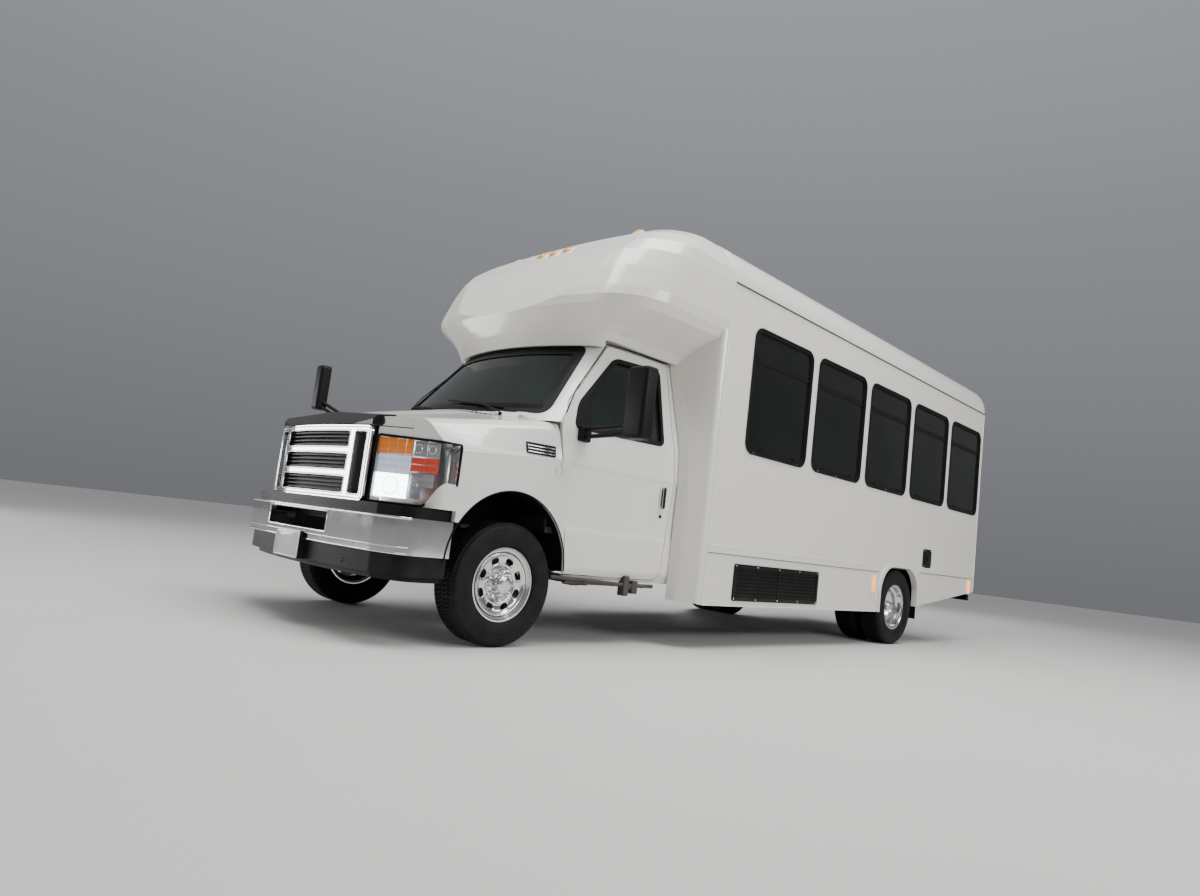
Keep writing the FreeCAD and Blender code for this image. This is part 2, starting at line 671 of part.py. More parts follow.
def flare():
    """Raised lip round the left rear wheel opening."""
    x0 = BODY_HALF_WIDTH
    ring = prism("side", arch_outline(FLARE_WIDTH), x0, x0 + FLARE_PROUD)
    hole = prism("side", arch_outline(0), x0 - 1, x0 + FLARE_PROUD + 1)
    keep = side_sheet(x0 - 1, x0 + FLARE_PROUD + 1)
    return ring.cut(hole).common(keep)


def mouldings():
    """Rub rail along the left side, higher behind the wheel opening."""
    x0, x1 = BODY_HALF_WIDTH, BODY_HALF_WIDTH + MOULDING_PROUD
    front = box(x0, x1, SEAM_Y, WHEELBASE - REAR_ARCH_HALF - FLARE_WIDTH,
                MOULDING_BOTTOM, MOULDING_BOTTOM + MOULDING_HEIGHT)
    rise = 40
    rear = box(x0, x1, WHEELBASE + REAR_ARCH_HALF + FLARE_WIDTH, REAR_Y - 60,
               MOULDING_BOTTOM + rise, MOULDING_BOTTOM + rise + MOULDING_HEIGHT)
    return [front, rear]


def side_wall(windows):
    """Left-hand wall with its window and wheel openings, skirt, rub rail and flare."""
    inner = BODY_HALF_WIDTH - WALL
    sheet = side_sheet(inner, BODY_HALF_WIDTH)
    holes = [prism("side", window_outline(y, 0), inner - 1, BODY_HALF_WIDTH + 1) for y in windows]
    holes.append(prism("side", arch_outline(0), inner - 1, BODY_HALF_WIDTH + 1))
    return fused([cut(sheet, holes), flare()] + mouldings())


def entry_hole(growth):
    return box(-BODY_HALF_WIDTH - 20, -BODY_HALF_WIDTH + WALL + 1, ENTRY_FRONT_Y - growth, ENTRY_REAR_Y + growth,
               ENTRY_BOTTOM - 200, ENTRY_TOP + growth)


def window_frames(y):
    """Rubber-edged frame of one left window with the bar under its vent pane."""
    x0, x1 = BODY_HALF_WIDTH - WALL, BODY_HALF_WIDTH + 4
    ring = prism("side", window_outline(y, 0), x0, x1)
    hole = prism("side", window_outline(y, WINDOW_FRAME), x0 - 1, x1 + 1)
    transom_z = WINDOW_TOP - (WINDOW_TOP - WINDOW_BOTTOM) / 4
    transom = box(x0 + 15, x1 - 8, y + WINDOW_FRAME - 1, y + WINDOW_WIDTH - WINDOW_FRAME + 1,
                  transom_z - 12, transom_z + 12)
    return fused([ring.cut(hole), transom])


def window_glass(y):
    """Two panes of one left window, above and below the transom."""
    x1 = BODY_HALF_WIDTH - 10
    pane = prism("side", window_outline(y, WINDOW_FRAME), x1 - GLASS_THICKNESS, x1)
    transom_z = WINDOW_TOP - (WINDOW_TOP - WINDOW_BOTTOM) / 4
    gap = box(x1 - 60, x1 + 60, y, y + WINDOW_WIDTH, transom_z - 12, transom_z + 12)
    return pane.cut(gap).Solids


def roof_outline(inset):
    half = BODY_HALF_WIDTH - inset
    return [(half, GUTTER_Z), (half, ROOF_SHOULDER_Z - inset, ROOF_CORNER_RADIUS - inset),
            (0, ROOF_CENTRE_Z - inset, ROOF_CROWN_RADIUS - inset),
            (-half, ROOF_SHOULDER_Z - inset, ROOF_CORNER_RADIUS - inset), (-half, GUTTER_Z)]


def export_body():
    windows = window_starts()
    left = side_wall(windows)
    right = mirrored(side_wall(windows[1:]))
    right = fused([right.cut(entry_hole(0))] + entry_wall_hinges())
    export("wall_left", [left])
    export("wall_right", [right])
    shell = prism("front", roof_outline(0), SEAM_Y, REAR_Y)
    inside = prism("front", roof_outline(WALL), SEAM_Y - 1, REAR_Y + 1)
    export("roof", [shell.cut(inside)])
    frames, panes = [], []
    for y in windows:
        frames.append(window_frames(y))
        panes += window_glass(y)
    for y in windows[1:]:
        frames.append(mirrored(window_frames(y)))
        panes += [mirrored(pane) for pane in window_glass(y)]
    export("window_frames", frames)
    export("side_glass", panes)


REAR_DOOR_HALF = 420
REAR_DOOR_BOTTOM = 830
REAR_DOOR_TOP = 2450
REAR_WINDOW = (-300, 300, 1480, 2300, 60)
REAR_WALL_BOTTOM = 585
REAR_HINGES_Z = (1050, 1640, 2230)
LAMP_X = 985
LAMP_RADIUS = 52
TAIL_LAMPS_Z = (1020, 1150, 1280)


def export_rear():
    inner_half = BODY_HALF_WIDTH - WALL
    y0, y1 = REAR_Y - WALL, REAR_Y
    corners = roof_outline(WALL)
    corners[0] = (inner_half, REAR_WALL_BOTTOM)
    corners[-1] = (-inner_half, REAR_WALL_BOTTOM)
    wall = prism("front", corners, y0, y1)
    hole = prism("front", rectangle(-REAR_DOOR_HALF, REAR_DOOR_HALF, REAR_DOOR_BOTTOM, REAR_DOOR_TOP, 40),
                 y0 - 1, y1 + 1)
    gap = DOOR_GAP
    fixed = []
    for z in REAR_HINGES_Z:
        pin_x, pin_y = -REAR_DOOR_HALF + gap, y1 + HINGE_RADIUS
        low, high = z - PIN_CLEARANCE - HINGE_LENGTH, z - PIN_CLEARANCE
        fixed.append(rod((pin_x, pin_y, low), (pin_x, pin_y, high), HINGE_RADIUS))
        fixed.append(box(pin_x - 70, pin_x, y1, y1 + 6, low, high))
    export("rear_wall", [fused([wall.cut(hole)] + fixed)])
    door = prism("front", rectangle(-REAR_DOOR_HALF + gap, REAR_DOOR_HALF - gap, REAR_DOOR_BOTTOM + gap,
                                    REAR_DOOR_TOP - gap, 36), y0 + 4, y1)
    opening = prism("front", rectangle(*REAR_WINDOW), y0 - 1, y1 + 1)
    handle = box(250, 360, y1, y1 + 40, 1330, 1360)
    pin_x = -REAR_DOOR_HALF + gap
    pin_y = y1 + HINGE_RADIUS
    hinges = [rod((pin_x, pin_y, z), (pin_x, pin_y, z + HINGE_LENGTH), HINGE_RADIUS) for z in REAR_HINGES_Z]
    plates = [box(pin_x, pin_x + 80, y1, y1 + 6, z, z + HINGE_LENGTH) for z in REAR_HINGES_Z]
    export("rear_door", [fused([door.cut(opening), handle] + hinges + plates)])
    pane = prism("front", rectangle(*REAR_WINDOW), y1 - 20, y1 - 20 + GLASS_THICKNESS)
    export("rear_glass", [pane])
    bumper = prism("plan", [(-REAR_BUMPER_HALF, y1 + 12), (REAR_BUMPER_HALF, y1 + 12),
                            (REAR_BUMPER_HALF, y1 + REAR_BUMPER_DEPTH, 60),
                            (-REAR_BUMPER_HALF, y1 + REAR_BUMPER_DEPTH, 60)],
                   REAR_BUMPER_BOTTOM, REAR_BUMPER_BOTTOM + REAR_BUMPER_HEIGHT)
    hollow = box(-REAR_BUMPER_HALF + 8, REAR_BUMPER_HALF - 8, y1 + 11, y1 + REAR_BUMPER_DEPTH - 12,
                 REAR_BUMPER_BOTTOM + 8, REAR_BUMPER_BOTTOM + REAR_BUMPER_HEIGHT - 8)
    brackets = [box(sign * RAIL_CENTRE_X - 30, sign * RAIL_CENTRE_X + 30, FRAME_REAR, y1 + REAR_BUMPER_DEPTH - 12,
                    RAIL_BOTTOM - 10, RAIL_BOTTOM + 60) for sign in (-1, 1)]
    export("rear_bumper", [fused([bumper.cut(hollow)] + brackets)])
    lamps = []
    for sign in (-1, 1):
        for z in TAIL_LAMPS_Z:
            lamps.append(rod((sign * LAMP_X, y1, z), (sign * LAMP_X, y1 + 22, z), LAMP_RADIUS))
    for x in (-900, -90, 0, 90, 900):
        lamps.append(box(x - 32, x + 32, y1, y1 + 16, 2640, 2668))
    export("tail_lamps", lamps)


def export_floor():
    inner = BODY_HALF_WIDTH - WALL
    z0 = FLOOR_TOP - FLOOR_THICKNESS
    floor = box(-inner, inner, SEAM_Y, REAR_Y - WALL, z0, FLOOR_TOP)
    well_inner = -inner + STEP_WELL_DEPTH
    gap = 12
    well_front, well_rear = ENTRY_FRONT_Y + gap, ENTRY_REAR_Y - gap
    floor = floor.cut(box(-inner, well_inner, well_front, well_rear, z0 - 1, FLOOR_TOP + 1))
    thick = 12
    low = ENTRY_BOTTOM + 10
    rise = (FLOOR_TOP - low) / STEP_COUNT
    tread = (STEP_WELL_DEPTH - thick) / STEP_COUNT
    pieces = [floor]
    for i in range(STEP_COUNT):
        x0 = -inner + i * tread
        z = low + i * rise
        pieces.append(box(x0, x0 + tread + thick, well_front, well_rear, z, z + thick))
        pieces.append(box(x0 + tread, x0 + tread + thick, well_front, well_rear, z, z + rise))
    for y in (well_front, well_rear - thick):
        pieces.append(box(-inner, well_inner, y, y + thick, low, FLOOR_TOP - 1))
    export("floor", [fused(pieces)])


ENTRY_HINGES_Z = (560, 1300, 2100)


def entry_wall_hinges():
    """Fixed hinge knuckles on the right wall, one under each knuckle of the leaves."""
    pin_x = -BODY_HALF_WIDTH - HINGE_RADIUS
    pieces = []
    for y_hinge, away in ((ENTRY_FRONT_Y + ENTRY_GAP, -1), (ENTRY_REAR_Y - ENTRY_GAP, 1)):
        for z in ENTRY_HINGES_Z:
            low, high = z - PIN_CLEARANCE - HINGE_LENGTH, z - PIN_CLEARANCE
            pieces.append(rod((pin_x, y_hinge, low), (pin_x, y_hinge, high), HINGE_RADIUS))
            pieces.append(box(pin_x, -BODY_HALF_WIDTH, *sorted((y_hinge, y_hinge + away * 50)), low, high))
    return pieces


def entry_leaf(y0, y1, y_hinge):
    """One leaf of the entry door in the right wall: stiles, rails and hinge barrels."""
    x0 = -BODY_HALF_WIDTH
    x1 = x0 + LEAF_THICKNESS
    z0, z1 = ENTRY_BOTTOM + ENTRY_GAP, ENTRY_TOP - ENTRY_GAP
    frame = box(x0, x1, y0, y1, z0, z1)
    inset = LEAF_STILE
    middle = 1150
    panes = [prism("side", rectangle(y0 + inset, y1 - inset, low, high, 40), x0 - 1, x1 + 1)
             for low, high in ((z0 + 90, middle - 30), (middle + 30, z1 - 80))]
    pin_x = x0 - HINGE_RADIUS
    barrels = [rod((pin_x, y_hinge, z), (pin_x, y_hinge, z + HINGE_LENGTH), HINGE_RADIUS) for z in ENTRY_HINGES_Z]
    toward = 1 if y_hinge == y0 else -1
    plates = [box(pin_x, x0, *sorted((y_hinge, y_hinge + toward * 40)), z, z + HINGE_LENGTH)
              for z in ENTRY_HINGES_Z]
    return fused([cut(frame, panes)] + barrels + plates)


def leaf_glass(y0, y1):
    x0 = -BODY_HALF_WIDTH + 12
    z0, z1 = ENTRY_BOTTOM + ENTRY_GAP, ENTRY_TOP - ENTRY_GAP
    inset = LEAF_STILE
    middle = 1150
    return [prism("side", rectangle(y0 + inset, y1 - inset, low, high, 40), x0, x0 + GLASS_THICKNESS)
            for low, high in ((z0 + 90, middle - 30), (middle + 30, z1 - 80))]


def export_entry():
    middle = (ENTRY_FRONT_Y + ENTRY_REAR_Y) / 2
    front = (ENTRY_FRONT_Y + ENTRY_GAP, middle - ENTRY_GAP / 2)
    rear = (middle + ENTRY_GAP / 2, ENTRY_REAR_Y - ENTRY_GAP)
    export("entry_leaf_front", [entry_leaf(front[0], front[1], front[0])])
    export("entry_leaf_rear", [entry_leaf(rear[0], rear[1], rear[1])])
    export("entry_glass_front", leaf_glass(*front))
    export("entry_glass_rear", leaf_glass(*rear))


def export_side_fittings():
    """Skirt vent grille and filler flap, both on the left wall."""
    y0, y1, z0, z1 = VENT
    x0 = BODY_HALF_WIDTH
    frame = prism("side", rectangle(y0, y1, z0, z1, 20), x0, x0 + 10)
    hole = prism("side", rectangle(y0 + 30, y1 - 30, z0 + 28, z1 - 28, 8), x0 + 3, x0 + 11)
    pieces = [frame.cut(hole)]
    rows = 8
    pitch = (z1 - z0 - 56) / rows
    for i in range(rows):
        z = z0 + 28 + (i + 0.5) * pitch
        pieces.append(box(x0 + 2, x0 + 9, y0 + 25, y1 - 25, z - 3, z + 3))
    middle = (y0 + y1) / 2
    pieces.append(box(x0 + 2, x0 + 10, middle - 9, middle + 9, z0 + 20, z1 - 20))
    y0, y1, z0, z1 = FILLER
    flap = prism("side", rectangle(y0, y1, z0, z1, 30), x0, x0 + 12)
    recess = prism("side", rectangle(y0 + 22, y1 - 22, z0 + 22, z1 - 22, 16), x0 + 8, x0 + 13)
    export("wall_fittings", [fused(pieces), flap.cut(recess)])
    lamps = []
    for y, z in ((4255, 580), (6660, 644)):
        lamps += both(box(x0, x0 + 14, y - 25, y + 25, z - 75, z + 75))
    export("side_markers", lamps)
    flap_x = BODY_HALF_WIDTH - WALL - 12
    flaps = both(box(flap_x - 420, flap_x, WHEELBASE + 560, WHEELBASE + 568, 250, FLOOR_TOP - FLOOR_THICKNESS))
    export("mudflaps", flaps)


# Cab
DOOR_CORNERS = [(446, 455, 40), (390, 920, 300), (324, 1166, 300), (292, 1400, 120), (385, 1564, 200),
                (790, 2035, 60), (1425, 2055, 40), (1400, 1475, 500), (1430, 1100, 500), (1363, 455, 60)]
DOOR_WINDOW = [(400, 1385, 40), (455, 1560, 120), (845, 1955, 60), (1330, 1980, 50), (1285, 1410, 60)]
SCREEN_CORNERS = [(-872, 1452, 70), (872, 1452, 70), (712, 2010, 70), (-712, 2010, 70)]
SCREEN_INSET = 10
SCREEN_THICKNESS = 6
DOOR_GLASS_INSET = 18
NOSE_WALL = 35
FENDER_BOTTOM = 450
FIREWALL_Y = 300
TUNNEL_HALF = 300
TUNNEL_TOP = 1090
CAB_FLOOR_THICKNESS = 40
CAB_FLOOR_Z = RAIL_TOP + CAB_FLOOR_THICKNESS
CREASE_Z = 1165
DOOR_SKIN = 22
DOOR_FLANGE = 22
DOOR_FRONT_X = (885, 700)


def grown(corners, amount):
    """Outline moved outward by an amount, corner radii kept."""
    count = len(corners)
    area = sum(corners[i][0] * corners[(i + 1) % count][1] - corners[(i + 1) % count][0] * corners[i][1]
               for i in range(count))
    turn = 1 if area > 0 else -1
    result = []
    for i, corner in enumerate(corners):
        here = Vector(corner[0], corner[1], 0)
        before = here - Vector(corners[i - 1][0], corners[i - 1][1], 0)
        after = Vector(corners[(i + 1) % count][0], corners[(i + 1) % count][1], 0) - here
        before.normalize()
        after.normalize()
        normal_a = Vector(before.y, -before.x, 0) * turn
        normal_b = Vector(after.y, -after.x, 0) * turn
        shift = (normal_a + normal_b) * (amount / (1 + normal_a.dot(normal_b)))
        radius = corner[2] if len(corner) > 2 else 0
        result.append((here.x + shift.x, here.y + shift.y, radius))
    return result


def greenhouse(inset, low, high):
    """Glasshouse volume between two heights: bowed screen in front, leaning straight sides."""
    wires = []
    for z in (low, high):
        share = (z - BELT_Z) / (CAB_ROOF_Z - BELT_Z)
        half = BELT_HALF + (CAB_ROOF_HALF - BELT_HALF) * share - inset
        side_x = COWL_SIDE_X + (HEADER_SIDE_X - COWL_SIDE_X) * share - inset
        side_y = COWL_SIDE_Y + (HEADER_SIDE_Y - COWL_SIDE_Y) * share + inset
        front_y = COWL_CENTRE_Y + (HEADER_CENTRE_Y - COWL_CENTRE_Y) * share + inset
        corner_y = side_y + PILLAR_DEPTH
        points = [Vector(half, CAB_REAR_Y, z), Vector(half, corner_y, z), Vector(side_x, side_y, z),
                  Vector(-side_x, side_y, z), Vector(-half, corner_y, z), Vector(-half, CAB_REAR_Y, z)]
        edges = [Part.LineSegment(points[0], points[1]).toShape(),
                 Part.LineSegment(points[1], points[2]).toShape(),
                 Part.Arc(points[2], Vector(0, front_y, z), points[3]).toShape(),
                 Part.LineSegment(points[3], points[4]).toShape(),
                 Part.LineSegment(points[4], points[5]).toShape(),
                 Part.LineSegment(points[5], points[0]).toShape()]
        wires.append(Part.Wire(edges))
    return lofted(wires)


def lower_cab(inset):
    """Cab body below the belt, from the bulkhead rearward: sill tuck, bulged side, belt."""
    half = CAB_HALF_WIDTH - inset
    bottom = SILL_Z if inset == 0 else SILL_Z - 20
    corners = symmetric([(half - 40, bottom), (half, SILL_Z + 70, 60), (half, 725, 20), (half - 7, 765, 20),
                         (half - 5, 1130, 20), (half + 2, CREASE_Z, 15), (BELT_HALF - inset, BELT_Z)])
    return prism("front", corners, COWL_SIDE_Y, CAB_REAR_Y)


def cab_wall(depth, roof):
    """Hollow cab wall of a given depth, doors and all, with a roof of that thickness or none."""
    outer = lower_cab(0).fuse(greenhouse(0, BELT_Z, CAB_ROOF_Z))
    inner = lower_cab(depth).fuse(greenhouse(depth, BELT_Z, CAB_ROOF_Z - roof))
    return outer.cut(inner)


def door_zone(growth):
    """Left door's outline through the cab's side, kept outboard of the screen pillar."""
    low_x, high_x = [x - max(0, growth) for x in DOOR_FRONT_X]
    side = prism("front", [(low_x, 300), (low_x, BELT_Z), (high_x, CAB_ROOF_Z + 10), (1200, CAB_ROOF_Z + 10),
                           (1200, 300)], 200, CAB_REAR_Y)
    return prism("side", grown(DOOR_CORNERS, growth), 500, 1200).common(side)


def nose_volume(inset):
    """Bonnet and wings as one volume: two sections joined, trimmed in plan and from the side."""
    half = CAB_HALF_WIDTH - inset
    bottom = FENDER_BOTTOM if inset <= 0 else FENDER_BOTTOM - 20
    rear_y = 470
    wires = []
    for y, crease_z, shoulder_x, shoulder_z, top_z in ((-900, 1100, 850, 1208, 1245),
                                                       (rear_y, 1173, 985, 1425, 1612)):
        corners = symmetric([(half, bottom), (half, crease_z - inset / 2, 60),
                             (shoulder_x - inset, shoulder_z - inset, 110), (0, top_z - inset, 3000)])
        wires.append(outline("front", corners, y))
    body = lofted(wires)
    plan = symmetric([(half, rear_y + 1), (half, LAMP_OUTER_Y + 15 + inset, 60),
                      (600, GRILLE_SIDE_Y + 27 + inset, 30), (GRILLE_HALF, GRILLE_SIDE_Y + inset),
                      (0, NOSE_Y + inset, "through")])
    side = [(-838 + inset, 0), (-812 + inset, 1180 - inset / 2, 80), (-690 + inset, 1322 - inset / 2),
            (-690 + inset, 1900), (rear_y + 1, 1900), (rear_y + 1, 0)]
    return body.common(prism("plan", plan, 0, 2000)).common(prism("side", side, -1300, 1300))


HOOD_PLAN = [(772, -950), (858, 150, 60), (0, -45, "through")]
HOOD_EDGE_Z = 1195
LAMP_OUTLINE = [(602, 765, 10), (915, 765, 30), (1030, 945, 30), (1030, 1128, 20), (602, 1143, 20)]


HOOD_REAR_GAP = 22
HOOD_AXIS_Y = 160
HOOD_AXIS_Z = 1360
HOOD_EYE_RADIUS = 10
HOOD_PIN_RADIUS = 5
HOOD_EYE_X = (780, 800)


def hood_zone(growth, rear_growth):
    plan = symmetric([(HOOD_PLAN[0][0] + growth, HOOD_PLAN[0][1]),
                      (HOOD_PLAN[1][0] + growth, HOOD_PLAN[1][1] + rear_growth, HOOD_PLAN[1][2]),
                      (0, HOOD_PLAN[2][1] + rear_growth, HOOD_PLAN[2][2])])
    return prism("plan", plan, HOOD_EDGE_Z - growth, 2000)


def hood_arm():
    """Left hinge arm under the bonnet's rear corner, bored for its pin."""
    x0, x1 = HOOD_EYE_X
    eye = rod((x0, HOOD_AXIS_Y, HOOD_AXIS_Z), (x1, HOOD_AXIS_Y, HOOD_AXIS_Z), HOOD_EYE_RADIUS)
    arm = box(x0, x1, 100, HOOD_AXIS_Y, HOOD_AXIS_Z - HOOD_EYE_RADIUS, HOOD_AXIS_Z + HOOD_EYE_RADIUS)
    bore = rod((x0 - 1, HOOD_AXIS_Y, HOOD_AXIS_Z), (x1 + 1, HOOD_AXIS_Y, HOOD_AXIS_Z),
               HOOD_PIN_RADIUS + PIN_CLEARANCE)
    return eye.fuse(arm).cut(bore)


def hood_lug():
    """Left hinge lug under the scuttle shelf, with the pin."""
    x0, x1 = HOOD_EYE_X
    lug_x = x1 + PIN_CLEARANCE
    lug = box(lug_x, lug_x + 22, HOOD_AXIS_Y - 10, HOOD_AXIS_Y + 12, HOOD_AXIS_Z - 16, BELT_Z - 24)
    pin = rod((x0, HOOD_AXIS_Y, HOOD_AXIS_Z), (lug_x + 22, HOOD_AXIS_Y, HOOD_AXIS_Z), HOOD_PIN_RADIUS)
    return lug.fuse(pin)


def arch_hole(side):
    """Front wheel opening, a round top with open sides below it."""
    low, high = sorted((side * 560, side * 1300))
    circle = rod((low, FRONT_ARCH_Y, FRONT_ARCH_Z), (high, FRONT_ARCH_Y, FRONT_ARCH_Z), FRONT_ARCH_RADIUS)
    below = prism("side", [(FRONT_ARCH_Y - 700, 300), (FRONT_ARCH_Y + FRONT_ARCH_RADIUS - 12, 300),
                           (FRONT_ARCH_Y + FRONT_ARCH_RADIUS, FRONT_ARCH_Z),
                           (FRONT_ARCH_Y - 300, FRONT_ARCH_Z + 20),
                           (FRONT_ARCH_Y - 300, NOSE_BOTTOM), (FRONT_ARCH_Y - 700, NOSE_BOTTOM)],
                  low, high)
    return circle.fuse(below)


def cowl_zone(growth):
    """Plan of the scuttle: bowed in front, inside the gap behind the bonnet."""
    half = HOOD_PLAN[1][0] + DOOR_GAP - 2 + growth
    plan = [(half, HOOD_PLAN[1][1] - 20), (half, FIREWALL_Y + 25), (-half, FIREWALL_Y + 25),
            (-half, HOOD_PLAN[1][1] - 20), (0, HOOD_PLAN[2][1] - 20, "through")]
    return prism("plan", plan, BELT_Z - 120 - growth, 2000)


def cowl_panel(shell):
    """Scuttle between the bonnet's rear edge and the screen."""
    return shell.common(cowl_zone(0)).cut(hood_zone(DOOR_GAP, HOOD_REAR_GAP)).cut(greenhouse(0, BELT_Z, CAB_ROOF_Z))


def export_cab():
    shell = nose_volume(0).cut(nose_volume(NOSE_WALL))
    doors = both(door_zone(DOOR_GAP))
    screen = prism("front", SCREEN_CORNERS, -400, 900)
    wing_room = [box(*sorted((sign * 890, sign * 1300)), 200, 470, 400, BELT_Z) for sign in (1, -1)]
    sides = cab_wall(CAB_WALL, -1)
    frame = cab_wall(CAB_WALL, CAB_WALL).cut(screen)
    for door, room in zip(doors, wing_room):
        frame = frame.cut(sides.common(door)).cut(room)
    bulkhead = box(-925, 925, FIREWALL_Y, FIREWALL_Y + 25, CAB_FLOOR_Z - CAB_FLOOR_THICKNESS, BELT_Z)
    tunnel_hole = box(-TUNNEL_HALF + 15, TUNNEL_HALF - 15, FIREWALL_Y - 1, FIREWALL_Y + 500,
                      CAB_FLOOR_Z - 60, TUNNEL_TOP - 15)
    tunnel = box(-TUNNEL_HALF, TUNNEL_HALF, FIREWALL_Y, FIREWALL_Y + 515, CAB_FLOOR_Z - CAB_FLOOR_THICKNESS, TUNNEL_TOP)
    floor = box(-938, 938, FIREWALL_Y, CAB_REAR_Y, CAB_FLOOR_Z - CAB_FLOOR_THICKNESS, CAB_FLOOR_Z)
    shelf = box(-860, 860, 150, FIREWALL_Y + 25, BELT_Z - 25, BELT_Z)
    inside = fused([floor, bulkhead, tunnel]).cut(tunnel_hole)
    hinge_room = box(HOOD_EYE_X[0] - 6, HOOD_EYE_X[1] + 6, 110, HOOD_AXIS_Y + 20,
                     HOOD_AXIS_Z - 20, HOOD_AXIS_Z + 25)
    hinge_room = hinge_room.fuse(box(700, 845, 100, 178, BELT_Z - 20, BELT_Z + 30))
    whole = fused([frame, inside, shelf, cowl_panel(shell)])
    whole = whole.cut(Part.makeCompound(both(hinge_room)))
    export("cab_shell", [fused([whole] + both(hood_lug()))])
    lamps = [prism("front", grown(LAMP_OUTLINE, PIN_CLEARANCE), -1000, -440)]
    lamps.append(mirrored(lamps[0]))
    front_open = box(-604, 604, -1000, -700, 0, HOOD_EDGE_Z - DOOR_GAP)
    lower_front = box(-1300, 1300, -1000, BUMPER_PLAN[0][1] + 2, 0, NOSE_BOTTOM + 60)
    middle = box(-600, 600, -1000, 600, 0, 2000)
    removed = doors + lamps + [front_open, lower_front, middle, hood_zone(DOOR_GAP, HOOD_REAR_GAP),
                               arch_hole(1), arch_hole(-1),
                               box(-930, 930, 240, 600, 0, 2000), cowl_zone(PIN_CLEARANCE),
                               box(-1300, 1300, 200, 600, BELT_Z - 12, 2000)]
    wings = shell.cut(Part.makeCompound(removed[:2])).copy()
    for tool in removed[2:]:
        wings = wings.cut(tool)
    parts = [solid for solid in wings.Solids if solid.Volume > 1e6]
    knuckles = both(door_knuckle(0))
    parts = [fused([solid, knuckles[0] if solid.CenterOfMass.x > 0 else knuckles[1]]) for solid in parts]
    export("front_wings", parts)
    hood = max(shell.common(hood_zone(0, 0)).Solids, key=lambda solid: solid.Volume)
    export("hood", [fused([hood] + both(hood_arm()))])
    shield = nose_volume(-9).cut(nose_volume(-0.5))
    shield_zone = prism("front", symmetric([(640, 1195, 20), (600, 1330, 40), (0, 1352, 2000)]), -1000, -660)
    export("stone_deflector", [max(shield.common(shield_zone).Solids, key=lambda solid: solid.Volume)])
    lamp = nose_volume(0).cut(nose_volume(70)).common(prism("front", LAMP_OUTLINE, -1000, -445))
    lamp = max(lamp.Solids, key=lambda solid: solid.Volume)
    export("headlamps", both(lamp))
    glass = greenhouse(SCREEN_INSET, BELT_Z, CAB_ROOF_Z).cut(
        greenhouse(SCREEN_INSET + SCREEN_THICKNESS, BELT_Z - 5, CAB_ROOF_Z + 5)).common(screen)
    export("windshield", [glass])
    export_cab_doors()


DOOR_AXIS_X = CAB_HALF_WIDTH + 9
DOOR_AXIS_Y = 318
DOOR_HINGE_RADIUS = 8
DOOR_HINGE_Z = (1070, 1110, 1150)


def door_knuckle(part):
    """Left cab door hinge: part 0 is the wing's lower barrel, part 1 the door's upper one."""
    low, high = DOOR_HINGE_Z[part] + PIN_CLEARANCE / 2, DOOR_HINGE_Z[part + 1] - PIN_CLEARANCE / 2
    barrel = rod((DOOR_AXIS_X, DOOR_AXIS_Y, low), (DOOR_AXIS_X, DOOR_AXIS_Y, high), DOOR_HINGE_RADIUS)
    near, far = (25, 60) if part else (-10, -45)
    strap = box(CAB_HALF_WIDTH + 2, DOOR_AXIS_X, *sorted((DOOR_AXIS_Y, DOOR_AXIS_Y + far)), low, high)
    pad = box(CAB_HALF_WIDTH - 12, DOOR_AXIS_X, *sorted((DOOR_AXIS_Y + near, DOOR_AXIS_Y + far)), low, high)
    return fused([barrel, strap, pad])


# Mirror head: middle x and y, bottom, top, half width and half depth
LEFT_MIRROR = (1455, 475, 1322, 1770, 84, 48)
RIGHT_MIRROR = (1470, -165, 1455, 1820, 54, 42)
MIRROR_ARM = (34, 26)


def mirror_head(x, y, bottom, top, half_width, half_depth):
    return prism("front", rectangle(x - half_width, x + half_width, bottom, top, 30), y - half_depth, y + half_depth)


def door_mirror():
    """Left mirror: head on two arms from a foot on the door's front upper corner."""
    x, y, bottom = LEFT_MIRROR[:3]
    arms = [bar((1010, 470, z), (x - 20, y, bottom + rise), *MIRROR_ARM) for z, rise in ((1335, 35), (1385, 85))]
    foot = box(985, 1030, 430, 520, 1300, 1410).cut(cab_wall(CAB_WALL, CAB_WALL))
    return fused([mirror_head(*LEFT_MIRROR), foot] + arms)


def wing_mirror():
    """Right mirror, built on the left: it stands on the wing, forward of the door, so the screen looks onto it."""
    x, y, bottom = RIGHT_MIRROR[:3]
    arms = [bar((1000, 105, z), (x - 20, y, bottom + rise), *MIRROR_ARM) for z, rise in ((1250, 30), (1285, 75))]
    foot = box(955, 1015, 60, 150, 1225, 1310).cut(nose_volume(0))
    foot = max(foot.Solids, key=lambda solid: solid.Volume)
    return fused([mirror_head(*RIGHT_MIRROR), foot] + [arm.cut(nose_volume(0)) for arm in arms])


